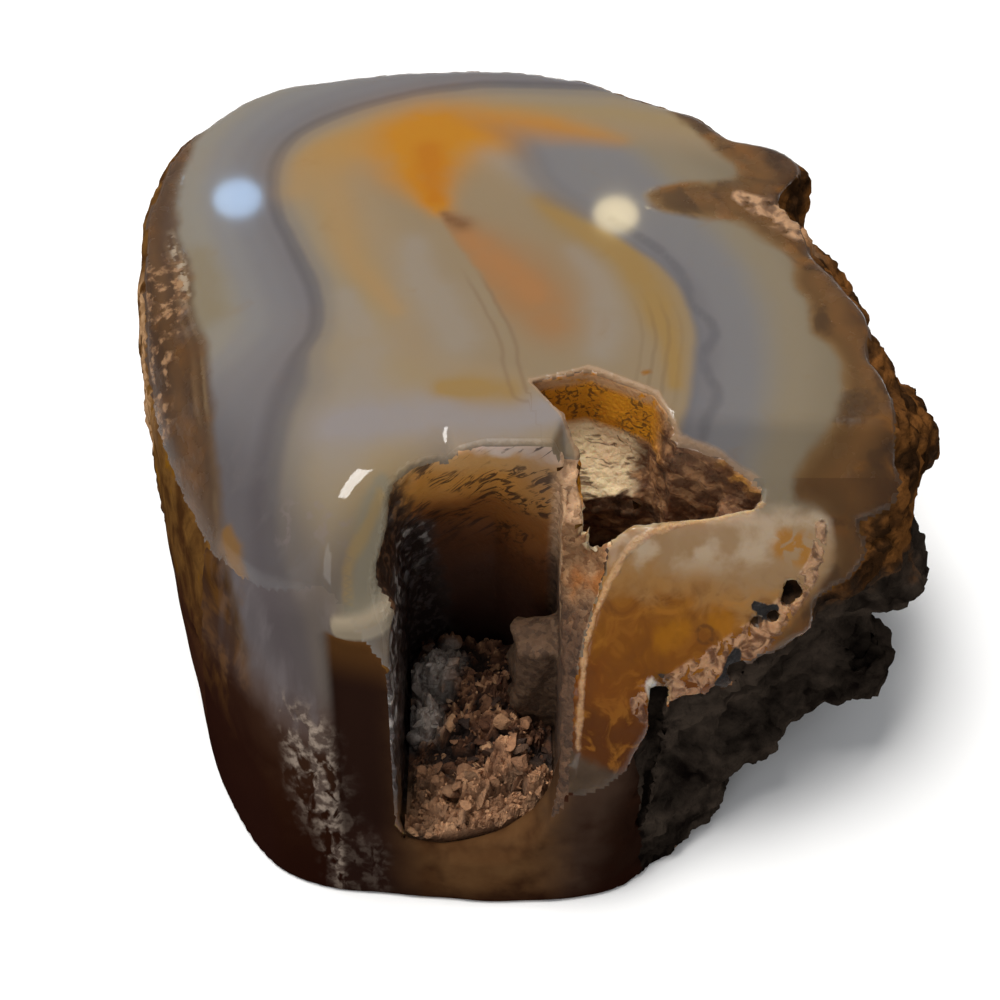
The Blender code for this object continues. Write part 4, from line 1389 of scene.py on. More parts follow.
@dataclass(frozen=True)
class FootFinish(Finish):
    """The stone's glossy foot at the front, with chalky patches, darker towards the bottom: partly its own
    dark brown, partly painted shade.
    """

    name: str = "agate_foot"
    rough: float = 0.22
    shine: float = 0.0
    light: float = 1.1

    def paint(self, b: Bench, groups: Groups) -> Painted:
        """Its colour, roughness and relief."""
        up, across, cloud = b.axis("Z"), b.axis("X"), b.noise(6.0, 4.0, 0.6)
        level = b.total((up, 1.0), (cloud, 12.0), (-6.0, 1.0))
        bands = b.mix(0.5, b.group(groups.bands).outputs["Color"], (80, 70, 70))
        rind = b.group(groups.rind, Inner=bands).outputs["Color"]
        # dark: darker towards the bottom, partly the stone's own dark brown and partly painted shade on
        # faces turned from the light
        dark = b.ramp(level, (2.0, (34, 15, 9, 1.2)), (12.0, (40, 20, 11, 1.2)),
                      (19.0, (50, 31, 21)), (26.0, (82, 66, 59)), (34.0, (98, 86, 82)))
        sheen = b.patches(0.48, 0.72, 3.0, 3.0, 0.3, b.stretch(STREAKY))
        side = b.mix(b.span(cloud, 0.45, 0.6), (44, 24, 14), (92, 60, 26))
        # the rind here also darkens lower down: partly painted shade
        side = b.mix(b.span(level, 26.0, 12.0), side, (34, 16, 12))
        # pillar and stem: the pillar's face under the ledge, painted dark brown as shade since it faces away
        # from the light, with a brown ochre edge at its top
        pillar = b.times(b.span(across, -22.4, -21.2), b.span(across, -12.0, -13.5),
                         b.span(up, 38.0, 37.1))
        stem = b.ramp(up, (8.0, (36, 21, 16, 1.2)), (30.0, (40, 24, 18, 1.2)), (37.5, (92, 60, 30)))
        right = b.edge(2.0, 9.0, across, (cloud, 6.0))
        far_right = b.edge(5.5, 10.5, across, (up, -0.25), (cloud, 4.0))
        smoke = b.layers(b.mix(b.noise(3.0, 4.0), (76, 47, 25, 1.15), (110, 80, 50, 1.15)),
                         ((66, 50, 40, 1.2), right), ((34, 20, 14, 1.2), far_right))
        flakes = b.patches(0.36, 0.60, 1.5, 8.0, 0.5, b.stretch(FLAKY))
        chalk = b.span(b.times(b.mark("chalk"), flakes, b.span(up, 30.0, 22.0)), 0.03, 0.75)
        chalk = b.times(chalk, b.math("SUBTRACT", 1.0, b.times(pillar, 0.85)))
        powder = b.mix(b.patches(0.4, 0.62, 1.1, 6.0), (86, 72, 64), (154, 138, 124))
        colour = b.layers(
            rind, (dark, b.span(level, 34.0, 22.0)),
            ((120, 112, 112), sheen, b.span(level, 20.0, 28.0), 0.35),
            (side, b.marked("rind", -1.0, 1.5), 0.6),
            ((120, 82, 26), b.marked("yellow_rind", 0.3, 1.0), b.span(cloud, 0.35, 0.6), 0.7),
            (stem, pillar),
            (smoke, b.span(across, -18.0, -9.0), b.patches(0.1, 0.6, 4.0, 3.0),
             b.span(up, -1.0, 4.0), 0.85),
            (powder, chalk, 0.9))
        rough = b.total((chalk, 0.5), (cloud, 0.2), (self.rough, 1.0))
        height = b.times(self.grain(b, groups)[0], b.total((chalk, 1.0), (0.06, 1.0)))
        return b.group(groups.pale, Inner=colour).outputs["Color"], rough, height


@dataclass(frozen=True)
class SkinFinish(Finish):
    """Natural skin: brown and crumbly or smooth, and dark rough matrix at the right."""

    name: str = "agate_skin"
    rough: float = 0.22
    shine: float = 0.0
    light: float = 1.2
    grains: float = 900.0
    grain_deep: float = 0.5

    def paint(self, b: Bench, groups: Groups) -> Painted:
        """Its colour, roughness and relief."""
        height, speck = self.grain(b, groups)
        up, ahead = b.axis("Z"), b.axis("Y")
        matrix, rind = b.mark("zone_matrix"), b.mark("zone_left_rind")
        cloud = b.noise(6.0, 5.0, 0.6)
        level = b.total((up, 1.0), (cloud, 22.0))
        flow = b.noise(3.6, 7.0, 0.8, b.stretch(FLAKY))
        brown = b.mix(b.span(flow, 0.35, 0.65), (68, 42, 20), (112, 78, 38))
        # low: the skin darker towards the bottom, partly its own dark brown, partly painted shade
        low = b.mix(cloud, (28, 13, 12, 1.0), (58, 33, 20, 1.0))
        crumbs = b.mix(speck, (110, 78, 46, 1.0), (176, 140, 104, 1.0))
        side = b.times(b.span(ahead, 9.0, 4.0), b.span(ahead, -20.0, -14.0), b.span(up, 38.0, 41.0),
                       b.patches(0.40, 0.50, 2.5, 5.0, 0.5))
        light = b.most(b.times(b.patches(0.50, 0.56, 7.0, 5.0, 0.4), b.span(level, 30.0, 38.0)), side)
        light = b.times(light, rind)
        bronze = b.mix(b.patches(0.42, 0.60, 4.5, 5.0, 0.6), (40, 26, 15), (116, 74, 36))
        bronze = b.layers(bronze, ((96, 62, 34), speck, 0.3))
        rock = b.layers(
            b.mix(b.span(cloud, 0.3, 0.7), (11, 7, 6, 1.1), (66, 56, 48, 1.0)),
            ((52, 45, 38, 1.1), speck, 0.4), (bronze, b.span(level, 40.0, 48.0)),
            ((14, 9, 8, 1.0), b.marked("grain_edge", 0.4, 0.0), 0.3))
        skin = b.layers(
            brown, ((120, 80, 20), b.span(flow, 0.60, 0.70)), (low, b.span(level, 47.0, 27.0)),
            ((40, 25, 14), speck, 0.22), (crumbs, light), (rock, b.span(matrix, 0.1, 0.7)),
            ((176, 134, 98), b.mark("pink"), b.patches(0.40, 0.52, 3.0, 4.0)))
        matt = b.most(matrix, light)
        rough = b.total((matt, 0.35), (cloud, 0.2), (self.rough, 1.0))
        height = b.times(height, b.total((matt, 0.7), (0.3, 1.0)))
        return skin, rough, b.total((height, 1.0), (flow, 0.5))


@dataclass(frozen=True)
class HollowFinish(Finish):
    """Walls of the hollows: ochre and milky agate with dark growths and sugary crust."""

    name: str = "hollow_wall"
    rough: float = 0.45
    shine: float = 0.25
    light: float = 0.7
    glow: float = 0.30
    glow_reach: Triple = (2.4, 1.3, 0.7)
    grains: float = 1400.0
    grain_deep: float = 0.35

    def back_wall(self, b: Bench, specks: Socket) -> Socket:
        """Colour of the main hollow's walls, darker deeper down: partly their own browns, partly painted
        shade in the hollow's depth.
        """
        up, across, cloud = b.axis("Z"), b.axis("X"), b.noise(7.0, 4.0, 0.5)
        level = b.total((up, 1.0), (cloud, 8.0), (-4.0, 1.0), (across, 0.25))
        # wall: dark low in the hollow, ochre and milky near the rim; the dark depth is partly painted shade
        wall = b.ramp(
            level, (6.0, (24, 11, 8, 0.5)), (16.0, (46, 26, 17, 0.4)), (25.0, (66, 36, 17, 0.5)),
            (34.0, (98, 58, 23, 0.52)), (41.0, (130, 88, 36, 0.5)), (46.0, (146, 110, 66, 0.6)),
            (48.0, (160, 144, 132, 0.6)))
        right = b.edge(-2.0, 2.5, across, (cloud, 4.0))
        tilted = b.stretch((1.0, 1.0, 0.14), (0.0, 0.8, 0.0))
        strip = b.total((across, 1.0), (b.noise(2.0, 3.0), 3.4), (up, 0.12))
        strip = b.span(strip, -5.6, -8.4)
        return b.layers(
            wall, ((96, 70, 46, 0.55), right, b.span(up, 30.0, 44.0), 0.5),
            ((34, 17, 9, 0.6), b.patches(0.50, 0.58, 0.75, 8.0, 1.4, tilted),
             b.patches(0.42, 0.54, 4.5, 4.0), b.span(up, 20.0, 32.0), 0.85),
            ((70, 54, 42, 0.9), strip, 0.85),
            ((52, 46, 46, 0.5), strip, b.span(up, 40.0, 28.0), 0.8),
            ((22, 13, 9, 0.5), b.patches(0.40, 0.47, 0.8, 6.0), strip, 0.92),
            (b.mix(specks, (96, 94, 92, 0.6), (160, 154, 148, 0.6)), strip,
             b.patches(0.50, 0.62, 1.6, 5.0), b.span(up, 20.0, 28.0), b.span(up, 38.0, 32.0), 0.75))

    def side_wall(self, b: Bench, specks: Socket) -> Socket:
        """Colour of the side hollow."""
        up, across = b.axis("Z"), b.axis("X")
        flakes = b.noise(2.6, 6.0, 0.8, b.stretch((0.45, 1.0, 1.0), (0.0, 0.0, 0.35)))
        ledge = b.ramp(flakes, (0.30, (40, 22, 12)), (0.5, (80, 50, 30)),
                       (0.62, (140, 102, 68)), (0.7, (86, 56, 36)))
        amber = b.layers(
            b.mix(b.noise(3.0, 2.0), (190, 126, 20), (150, 92, 10)),
            ((44, 27, 10, 0.6), b.patches(0.48, 0.60, 0.9, 8.0, 1.6), b.patches(0.42, 0.55, 4.0, 2.0),
             0.75))
        across_sheet = b.stretch((0.14, 1.0, 1.0), (0.0, 0.25, 0.2))
        sheet = b.layers(
            b.mix(b.noise(5.0, 3.0), (190, 158, 126, 0.42), (146, 116, 88, 0.42)),
            ((70, 42, 24), b.patches(0.54, 0.62, 0.8, 6.0, 0.9, across_sheet),
             b.patches(0.46, 0.56, 4.0, 3.0), 0.7))
        torn = b.edge(35.4, 36.2, up, (flakes, 5.0), (across, -0.12))
        left = b.edge(15.4, 13.0, across, (flakes, 5.0))
        warm = b.mix(b.span(flakes, 0.4, 0.6), (84, 48, 16), (180, 124, 46))
        return b.layers(
            # dark brown low in the pit: painted shade under the shelf
            ledge, ((146, 112, 80), specks, 0.25), ((50, 28, 15, 0.6), b.span(up, 32.0, 24.0)),
            (sheet, torn, left), (amber, b.span(up, 41.2, 42.6), b.span(across, 14.5, 13.0)),
            (warm, b.span(across, 19.0, 22.0), b.span(up, 41.0, 45.0)),
            ((196, 150, 104, 1.2), b.span(up, 47.2, 48.6), b.patches(0.3, 0.5, 1.2, 3.0)))

    def paint(self, b: Bench, groups: Groups) -> Painted:
        """Its colour, roughness and relief."""
        height, specks = self.grain(b, groups)
        up, across = b.axis("Z"), b.axis("X")
        side, stump = b.mark("zone_side"), b.mark("zone_stump")
        stem = b.mix(specks, (50, 33, 22, 0.9), (84, 60, 42, 0.9))
        low = b.edge(37.0, 31.0, up, (b.noise(4.0, 3.0), 8.0), (across, -0.5))
        crust = b.layers(
            b.mix(specks, (120, 80, 48, 1.3), (172, 130, 90, 1.3)),
            ((150, 92, 42, 1.2), b.patches(0.44, 0.66, 4.0, 5.0)), (stem, low),
            (b.mix(specks, (64, 45, 31, 0.95), (98, 74, 54, 0.95)), stump))
        shoulder = b.most(b.mark("zone_shoulder"), stump)
        partition = b.times(b.span(across, 1.6, 2.8), b.span(up, 47.0, 43.0),
                            b.math("SUBTRACT", 1.0, side))
        partition = b.most(partition, b.mark("zone_partition"))
        sugar = b.layers(b.mix(specks, (112, 84, 60, 0.6), (158, 126, 96, 0.6)),
                         (stem, b.span(up, 34.0, 26.0)))
        smoke = b.mix(b.noise(4.0, 3.0), (60, 38, 22, 1.1), (96, 70, 46, 1.1))
        wall = b.layers(
            self.back_wall(b, specks), (self.side_wall(b, specks), b.span(side, 0.3, 0.6)),
            (sugar, partition), (smoke, b.span(up, 18.0, 13.0), b.along("Y", -40.0, -42.5)),
            (crust, b.span(shoulder, 0.3, 0.7)))
        matt = b.most(shoulder, partition, side)
        height = b.times(height, b.total((matt, 0.8), (0.15, 1.0)))
        return wall, b.total((matt, 0.35), (self.rough, 1.0)), height


@dataclass(frozen=True)
class KnobFinish(Finish):
    """The knob's cut face: grey clear agate over amber, with flakes and black pits."""

    name: str = "knob_face"
    rough: float = 0.16
    shine: float = 0.25
    light: float = 1.1
    glow: float = 0.5
    glow_reach: Triple = (4.5, 2.4, 1.0)
    grains: float = 1300.0
    grain_deep: float = 0.4

    def agate(self, b: Bench, fine: Socket) -> Socket:
        """Colour of the face's clear stone."""
        deep, across, cloud = b.axis("Y"), b.axis("X"), b.noise(6.0, 5.0, 1.0)
        at = b.total((deep, 1.0), (cloud, 7.0), (across, 0.10), (-4.6, 1.0))
        face = b.ramp(
            at, (-42.0, (104, 52, 0, 2.0)), (-38.0, (118, 62, 4, 1.6)), (-35.0, (130, 78, 6, 1.5)),
            (-32.4, (126, 78, 20, 1.2)), (-30.4, (144, 104, 56, 1.2)), (-28.0, (154, 122, 86, 1.4)),
            (-24.0, (164, 136, 104, 1.45)))
        smears = b.noise(3.4, 5.0, 1.6)
        upper = b.span(deep, -31.0, -29.6)
        torn = b.patches(0.38, 0.56, 1.8, 5.0, 0.8)
        kept = b.total((b.math("SUBTRACT", 1.0, upper), 1.0), (b.times(upper, torn), 1.0))
        uneven = b.total((cloud, 1.4), (fine, 1.8), (0.3, 1.0))
        dark = b.times(b.mark("knob_deep"), uneven)
        gold = b.times(b.mark("knob_yellow"), uneven, kept)
        return b.layers(
            face,
            ((80, 42, 12), b.span(smears, 0.48, 0.70), b.span(deep, -29.0, -32.0), 0.55),
            ((170, 112, 34), b.span(smears, 0.50, 0.34), b.span(deep, -30.0, -33.0), 0.35),
            ((112, 62, 10, 1.2), b.span(dark, 0.1, 0.95), 0.6),
            (b.mix(upper, (156, 98, 6, 1.4), (160, 104, 8, 1.3)), b.span(gold, 0.1, 0.95), 0.75),
            ((182, 166, 144), b.patches(0.48, 0.66, 5.0, 5.0, 0.4), b.span(deep, -30.5, -28.0), 0.5))

    def paint(self, b: Bench, groups: Groups) -> Painted:
        """Its colour, roughness and relief."""
        deep, across, up = b.axis("Y"), b.axis("X"), b.axis("Z")
        fine = b.ripple(1.8, 4.0, 0.4)
        top = b.edge(-25.9, -24.3, deep, (fine, 1.2))
        flake = b.times(b.mark("knob_flake"), b.patches(0.36, 0.50, 1.5, 5.0, 0.5))
        flake = b.span(flake, 0.22, 0.5)
        flesh = b.mix(b.patches(0.38, 0.60, 1.4, 8.0, 1.0), (82, 50, 30), (172, 132, 98))
        black = b.marked("knob_black", 0.35, 0.6, (fine, 1.0))
        rim = b.marked("knob_line", 0.5, 0.1, (fine, 0.9))
        face = b.layers(
            self.agate(b, fine), (b.group(groups.bands).outputs["Color"], top),
            ((70, 40, 16, 1.0), b.marked("knob_ring", 0.35, 0.05, (fine, 0.3)), 0.6),
            (flesh, flake, 0.75),
            ((190, 176, 164), b.marked("knob_white", 0.4, 0.7, (fine, 0.8)), 0.8),
            ((16, 10, 9, 1.0), black), ((196, 156, 112, 1.2), rim, 0.65))
        rind = b.group(groups.rind, Inner=face)
        smoke = b.layers(b.mix(b.noise(2.0, 6.0), (48, 31, 19, 1.4), (98, 78, 58, 1.4)),
                         ((40, 26, 17, 1.4), b.edge(-1.0, 3.0, across, (up, -0.5))))
        foot = b.edge(23.8, 22.6, up, (across, 0.4), (fine, 1.0))
        face = b.layers(
            face, (b.mix(0.4, rind.outputs["Color"], (62, 38, 20)), rind.outputs["Rind"]),
            (smoke, foot, b.span(across, 14.0, 12.0)))
        rough = b.most(flake, black, rim)
        height = b.times(self.grain(b, groups)[0], b.total((rough, 1.0), (0.05, 1.0)))
        return face, b.total((rough, 0.4), (self.rough, 1.0)), height


@dataclass(frozen=True)
class SawnFinish(Finish):
    """Sawn base: the agate's colours, matt."""

    name: str = "agate_sawn"
    rough: float = 0.55
    glow: float = 0.2
    grains: float = 2400.0
    grain_deep: float = 0.05

    def paint(self, b: Bench, groups: Groups) -> Painted:
        """Its colour, roughness and relief."""
        bands = b.mix(0.3, b.group(groups.bands).outputs["Color"], (70, 50, 38))
        return b.group(groups.rind, Inner=bands).outputs["Color"], None, self.grain(b, groups)[0]


@dataclass(frozen=True)
class CrustFinish(Finish):
    """Crumbly brown mineral crust with some bluish grey lumps."""

    name: str = "crumbly_crust"
    rough: float = 0.9
    glow: float = 0.05
    glow_reach: Triple = (0.8, 0.4, 0.2)
    grains: float = 1900.0

    def paint(self, b: Bench, groups: Groups) -> Painted:
        """Its colour, roughness and relief."""
        height, speck = self.grain(b, groups)
        # tint: random tone of the bed and crumbs, with painted shade in the bed's dips
        brown = b.ramp(b.mark("tint"), (0.0, (38, 22, 12, 0.9)), (0.35, (90, 56, 34, 0.75)),
                       (0.7, (136, 96, 66, 0.72)), (1.0, (172, 130, 94, 0.7)))
        # front: the crust paler towards the hollow's open front, painted light where light reaches the
        # floor; darker behind as painted shade
        front = b.edge(-32.0, -39.0, b.axis("Y"), (b.noise(3.0, 3.0), 6.0))
        colour = b.layers(
            brown, ((160, 120, 86, 0.68), front, 0.5),
            (b.mix(speck, (104, 94, 86, 0.35), (150, 142, 134, 0.35)), b.mark("grey")),
            ((58, 38, 28, 0.55), speck, 0.22))
        return colour, None, height


@dataclass(frozen=True)
class FloorFinish(Finish):
    """Plain pale floor."""

    name: str = "pale_floor"
    rough: float = 0.8
    pale: Tint = (236.1491, 236.1491, 236.1491, 1.0)
    paler: Tint = (234.5786, 234.5786, 234.5786, 1.0)

    def paint(self, b: Bench, groups: Groups) -> Painted:
        """Its colour, roughness and relief."""
        return b.mix(b.noise(300.0, 2.0), self.pale, self.paler), None, None


@dataclass
class Crust:
    """The crumbly crust on the main hollow's floor."""

    name: str = "crumbly_floor"
    hollow: MainHollow = MainHollow()
    noise: Noise = field(default_factory=lambda: Noise(11))
    gap: float = 0.35
    top: float = 8.6
    rim: float = 1.2
    cells: tuple[int, int] = (90, 120)
    lumps: Points = (
        (-10.0, -24.5, 2.8, 4.4), (-11.2, -31.0, 2.4, 2.9), (-5.5, -26.5, 3.0, 2.1),
        (-1.6, -37.5, 3.2, 3.4), (-6.8, -33.5, 2.6, 1.9), (0.8, -33.6, 2.0, 2.4),
        (-5.2, -40.0, 2.2, 1.3), (-10.6, -40.5, 2.2, 1.5), (2.0, -39.8, 1.8, 1.6),
    )
    grey_lumps: Points = ((-11.0, -25.0, 3.4), (-11.8, -31.5, 2.6), (-9.0, -22.5, 2.4))
    crumbs: int = 900
    large: float = 0.75
    kinds: int = 7
    smallest: float = 0.22
    spread: float = 1.15
    rare: float = 4.0
    facets: int = 9
    crease: float = 38.0

    def height(self, x: Array, y: Array) -> Array:
        """Height of the crust away from its rim."""
        height = self.top + 0.5 * swell(x, y, 0.0, 4.2, 2.2)
        for cx, cy, half, rise in self.lumps:
            q = np.maximum(0.0, 1.0 - ((x - cx) ** 2 + (y - cy) ** 2) / half**2)
            height = height + rise * q * (2.0 - q)
        return height

    def bed(self) -> tuple[Array, Array]:
        """Closed bed of the crust: its points and quads."""
        across, deep = self.cells
        u, v = np.meshgrid(np.linspace(0, 1, across + 1), np.linspace(0, 1, deep + 1))
        x = self.hollow.left + 0.5 + u * (self.hollow.right - self.hollow.left - 1.0)
        front = self.hollow.sill_back(x) + 0.6
        back = self.hollow.back_wall(x, np.full_like(x, self.top)) - 0.7
        y = front + v * (back - front)
        rim = np.minimum(np.minimum(12.0 * np.minimum(u, 1 - u), 14.0 * np.minimum(v, 1 - v)), 1.0)
        low = self.hollow.floor + self.gap
        z = low + self.rim + (self.height(x, y) - low - self.rim) * (0.45 + 0.55 * rim)
        flat = np.stack([x.ravel(), y.ravel(), z.ravel()], 1)
        edge, grain = self.noise.cells(flat, 1.7)
        rough = 1.2 * soft_step(edge / 0.5) * (0.2 + grain) - 0.7
        folds = 2.0 * self.noise.layers(flat, 3.6, 4, 0.6) - 1.3 * np.abs(self.noise.wave(flat, 2.6))
        flat[:, 2] += rough + folds
        flat[:, 2] = np.maximum(flat[:, 2], low + 0.6)
        base = flat.copy()
        base[:, 2] = low
        points = np.vstack([flat, base])
        row = across + 1
        number = np.arange(len(flat)).reshape(deep + 1, row)
        a, b, c, d = (number[:-1, :-1], number[:-1, 1:], number[1:, 1:], number[1:, :-1])
        top = np.stack([a, b, c, d], -1).reshape(-1, 4)
        under = top[:, ::-1] + len(flat)
        ring = np.concatenate([number[0, :-1], number[:-1, -1], number[-1, :0:-1], number[:0:-1, 0]])
        after = np.roll(ring, -1)
        side = np.stack([ring, ring + len(flat), after + len(flat), after], 1)
        return points, np.concatenate([top, under, side])

    def crumb_kinds(self, rounds: int) -> list[tuple[Array, Array]]:
        """A few broken blocks: points within about 1 of the middle, and triangles.

        Args:
            rounds: how often each triangle is split in four.
        """
        draw = np.random.default_rng(3)
        kinds = []
        gold = (1 + math.sqrt(5)) / 2
        ico = np.array([(-1, gold, 0), (1, gold, 0), (-1, -gold, 0), (1, -gold, 0),
                        (0, -1, gold), (0, 1, gold), (0, -1, -gold), (0, 1, -gold),
                        (gold, 0, -1), (gold, 0, 1), (-gold, 0, -1), (-gold, 0, 1)])
        ico = ico / np.linalg.norm(ico[0])
        faces = np.array([(0, 11, 5), (0, 5, 1), (0, 1, 7), (0, 7, 10), (0, 10, 11), (1, 5, 9),
                          (5, 11, 4), (11, 10, 2), (10, 7, 6), (7, 1, 8), (3, 9, 4), (3, 4, 2),
                          (3, 2, 6), (3, 6, 8), (3, 8, 9), (4, 9, 5), (2, 4, 11), (6, 2, 10),
                          (8, 6, 7), (9, 8, 1)])
        for _ in range(rounds):
            points, found, split = list(ico), {}, []
            for tri in faces:
                mids = []
                for i, j in zip(tri, np.roll(tri, -1)):
                    key = (min(i, j), max(i, j))
                    if key not in found:
                        found[key] = len(points)
                        middle = ico[i] + ico[j]
                        points.append(middle / np.linalg.norm(middle))
                    mids.append(found[key])
                a, b, c = tri
                ab, bc, ca = mids
                split += [(a, ab, ca), (ab, b, bc), (ca, bc, c), (ab, bc, ca)]
            ico, faces = np.array(points), np.array(split)
        for _ in range(self.kinds):
            block = ico.copy()
            for _ in range(self.facets):
                way = draw.normal(size=3)
                way /= np.linalg.norm(way)
                over = np.maximum(block @ way - draw.uniform(0.3, 0.65), 0.0)
                block -= over[:, None] * way
            kinds.append((block * draw.uniform(0.6, 1.35, 3), faces))
        return kinds

    def build(self) -> bpy.types.Object:
        """Make the bed and strew its crumbs."""
        draw = np.random.default_rng(8)
        points, quads = self.bed()
        tint = 0.42 + 0.45 * self.noise.layers(points, 3.0, 3)
        # plus darker in the bed's dips and lighter on its bumps: painted shade and light
        tint += 0.28 * (points[:, 2] - self.height(points[:, 0], points[:, 1]))
        all_points, all_tints = [points], [tint]
        all_faces = [quads[:, [0, 1, 2]], quads[:, [0, 2, 3]]]
        start = len(points)
        bed = points[:len(points) // 2]
        kinds = {rounds: self.crumb_kinds(rounds) for rounds in (1, 2)}
        for _ in range(self.crumbs):
            x = draw.uniform(self.hollow.left + 1.0, self.hollow.right - 1.2)
            y = draw.uniform(float(self.hollow.sill_back(np.array(x))) + 0.8, self.hollow.back + 2.0)
            size = self.smallest + self.spread * draw.random() ** self.rare
            turn, _ = np.linalg.qr(draw.normal(size=(3, 3)))
            block, faces = kinds[2 if size > self.large else 1][draw.integers(self.kinds)]
            nearest = np.argmin((bed[:, 0] - x) ** 2 + (bed[:, 1] - y) ** 2)
            z = bed[nearest, 2] + draw.uniform(-0.5, 0.35) * size
            made = (block * size) @ turn.T + (x, y, z)
            faces = faces if np.linalg.det(turn) > 0 else faces[:, ::-1]
            all_points.append(made)
            all_faces.append(faces + start)
            all_tints.append(np.full(len(made), draw.uniform(0.0, 1.0) ** 1.3))
            start += len(made)
        points = np.vstack(all_points)
        grey = np.zeros(len(points))
        for gx, gy, radius in self.grey_lumps:
            far = np.hypot(points[:, 0] - gx, points[:, 1] - gy)
            grey = np.maximum(grey, soft_step(1.4 - far / radius))
        room = self.hollow
        points[:, 0] = np.clip(points[:, 0], room.left - 0.2, room.right + 0.2)
        points[:, 2] = np.maximum(points[:, 2], room.floor + 0.1)
        marks = {"tint": np.clip(np.concatenate(all_tints), 0, 1), "grey": grey}
        crust = mesh_object(self.name, points, np.concatenate(all_faces), marks)
        crust.data.set_sharp_from_angle(angle=math.radians(self.crease))
        LOG.info("%s: %d points", self.name, len(points))
        return crust


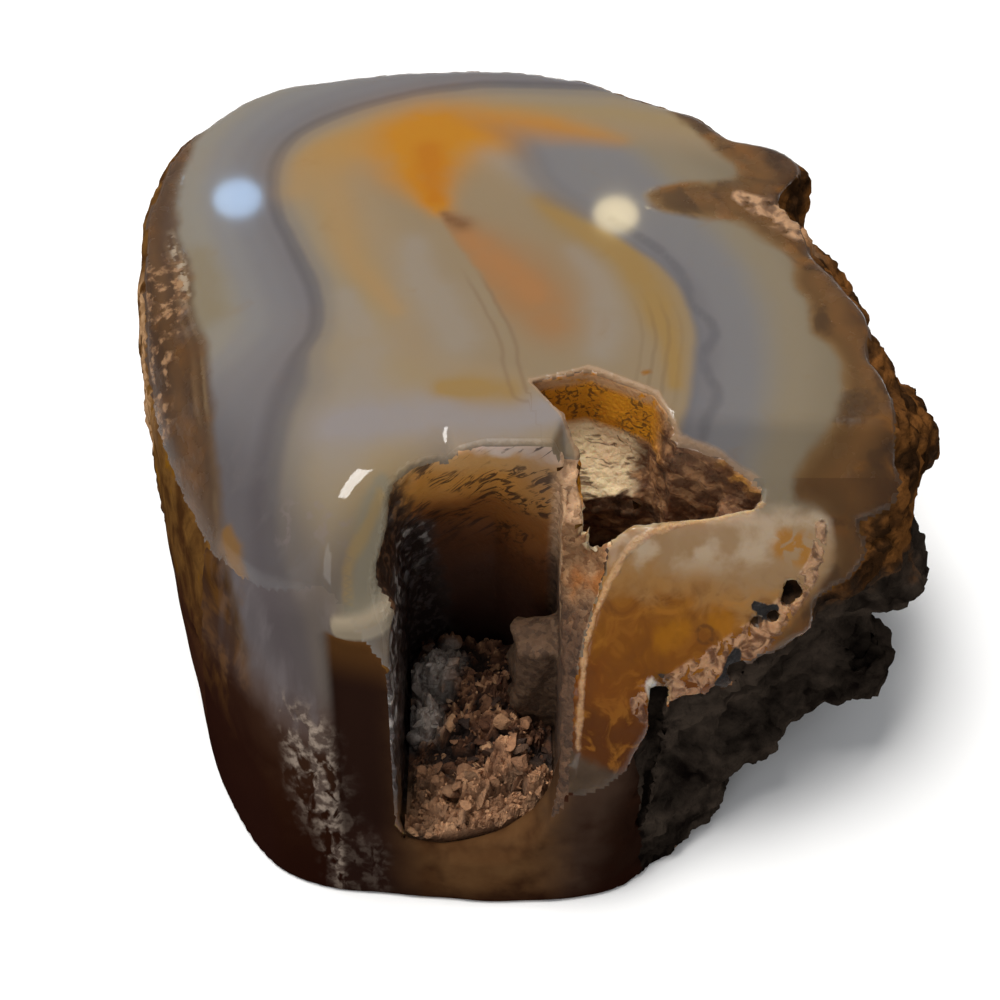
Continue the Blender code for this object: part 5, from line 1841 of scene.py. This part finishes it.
@dataclass(frozen=True)
class Studio:
    """Floor, soft light and the camera at the photograph's angle."""

    camera_place: Triple = (-2.3625, -128.1875, 166.25)
    pitch: float = 50.0
    lens: float = 54.0
    sensor: float = 36.0
    nearest: float = 0.005
    floor_half: float = 1.6
    sky: Colour = (0.95, 0.97, 1.0, 1.0)
    sky_light: float = 0.36
    panels: tuple = (
        ("key", (-0.19, 0.11, 0.92), (0.50, 0.36), 10.5, (1.0, 0.98, 0.95)),
        ("fill", (-0.5, -0.8, 0.6), (0.5, 0.5), 1.6, (0.97, 0.98, 1.0)),
    )
    lamp_far: float = 620.0
    lamps: tuple = (
        ((237.0, 195.0), 42.0, (0.42, 0.66, 1.0), 12.0),
        ((616.0, 214.0), 40.0, (1.0, 0.82, 0.46), 13.0),
    )

    def stage(self, groups: Groups) -> None:
        """Lay the floor."""
        mesh = bpy.data.meshes.new("floor")
        signs = ((-1, -1), (1, -1), (1, 1), (-1, 1))
        corners = [(self.floor_half * i, self.floor_half * j, 0) for i, j in signs]
        mesh.from_pydata(corners, [], [(0, 1, 2, 3)])
        mesh.materials.append(FloorFinish().build(groups))
        add_object("floor", mesh)

    def camera(self) -> None:
        """Place the camera."""
        data = bpy.data.cameras.new("camera")
        data.lens, data.sensor_width, data.clip_start = self.lens, self.sensor, self.nearest
        camera = add_object("camera", data)
        camera.location = self.eye() * MM
        camera.rotation_euler = (math.radians(90.0 - self.pitch), 0.0, 0.0)
        bpy.context.scene.camera = camera

    def eye(self) -> Vector:
        """The camera's place in the frame, in millimetres."""
        return Vector(self.camera_place) - Vector(CENTRE)

    def ray(self, pixel: tuple[float, float]) -> Vector:
        """Direction from the camera through a pixel of the photograph."""
        reach = self.lens / self.sensor * PHOTO
        tilt = math.radians(self.pitch)
        ahead = Vector((0.0, math.cos(tilt), -math.sin(tilt)))
        up = Vector((0.0, math.sin(tilt), math.cos(tilt)))
        across = Vector((1.0, 0.0, 0.0))
        u, v = (pixel[0] - PHOTO / 2) / reach, (PHOTO / 2 - pixel[1]) / reach
        return (ahead + u * across + v * up).normalized()

    def hang(self, name: str, place: Triple, way: Vector, size: tuple[float, float], power: float,
             tint: Triple) -> bpy.types.AreaLight:
        """Hang an area light that shines one way.

        Args:
            name: its name.
            place: where it hangs, in metres.
            way: the direction it shines in.
            size: its width and height in metres.
            power: its power in watts.
            tint: its colour.

        Returns:
            The light's data.
        """
        data = bpy.data.lights.new(name, "AREA")
        data.shape = "RECTANGLE"
        data.size, data.size_y = size
        data.energy, data.color = power, tint
        light = add_object(name, data)
        light.location = place
        light.rotation_euler = way.to_track_quat("-Z", "Y").to_euler()
        return data

    def lamp(self, pixel: tuple[float, float], wide: float, tint: Triple, bright: float,
             nodule: Nodule) -> None:
        """Round lamp whose reflection in the crown stands at a pixel.

        Args:
            pixel: where the reflection shows.
            wide: the reflection's width in pixels.
            tint: the lamp's colour.
            bright: its radiance.
            nodule: gives the crown's curve.
        """
        eye, ray = self.eye(), self.ray(pixel)
        spot = eye + ray * ((CREST - eye.z) / ray.z)
        x, y = spot.x + CENTRE[0], spot.y + CENTRE[1]
        normal = Vector((x, y - nodule.crown_y, nodule.crown_radius)).normalized()
        mirrored = ray - 2.0 * ray.dot(normal) * normal
        near = (spot - eye).length
        radius = wide / 2.0 / (self.lens / self.sensor * PHOTO) * (near + self.lamp_far)
        radius *= 1.0 + 2.0 * near * self.lamp_far / (near + self.lamp_far) / nodule.crown_radius
        power = bright * math.pi * math.pi * (radius * MM) ** 2
        across = 2.0 * radius * MM
        place = (spot + mirrored * self.lamp_far) * MM
        self.hang("lamp", place, -mirrored, (across, across), power, tint).shape = "DISK"

    def light(self) -> None:
        """Hang the lights and set the surroundings."""
        world = bpy.data.worlds.new("studio")
        world.use_nodes = True
        surroundings = world.node_tree.nodes["Background"].inputs
        surroundings["Color"].default_value = self.sky
        surroundings["Strength"].default_value = self.sky_light
        bpy.context.scene.world = world
        for name, place, size, power, tint in self.panels:
            self.hang(name, place, -Vector(place), size, power, tint)
        for pixel, wide, tint, bright in self.lamps:
            self.lamp(pixel, wide, tint, bright, Nodule())


def dress(piece: bpy.types.Object, node: str) -> None:
    """Let a piece stand for its node and take its slot."""
    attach(piece, "root")
    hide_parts(node)


def main() -> None:
    """Build the stone and its crust, then the studio."""
    logging.basicConfig(level=logging.INFO, format="%(name)s: %(message)s")
    groups = Groups()
    stone = Stone().build()
    for kind in (PolishFinish, FootFinish, SkinFinish, HollowFinish, KnobFinish, SawnFinish):
        stone.data.materials.append(kind().build(groups))
    dress(stone, "agate_body")
    crust = Crust().build()
    crust.data.materials.append(CrustFinish().build(groups))
    dress(crust, "hollow_crust")
    studio = Studio()
    studio.stage(groups)
    studio.camera()
    studio.light()
    bpy.context.scene.view_settings.view_transform = "Standard"


if __name__ == "__main__":
    main()
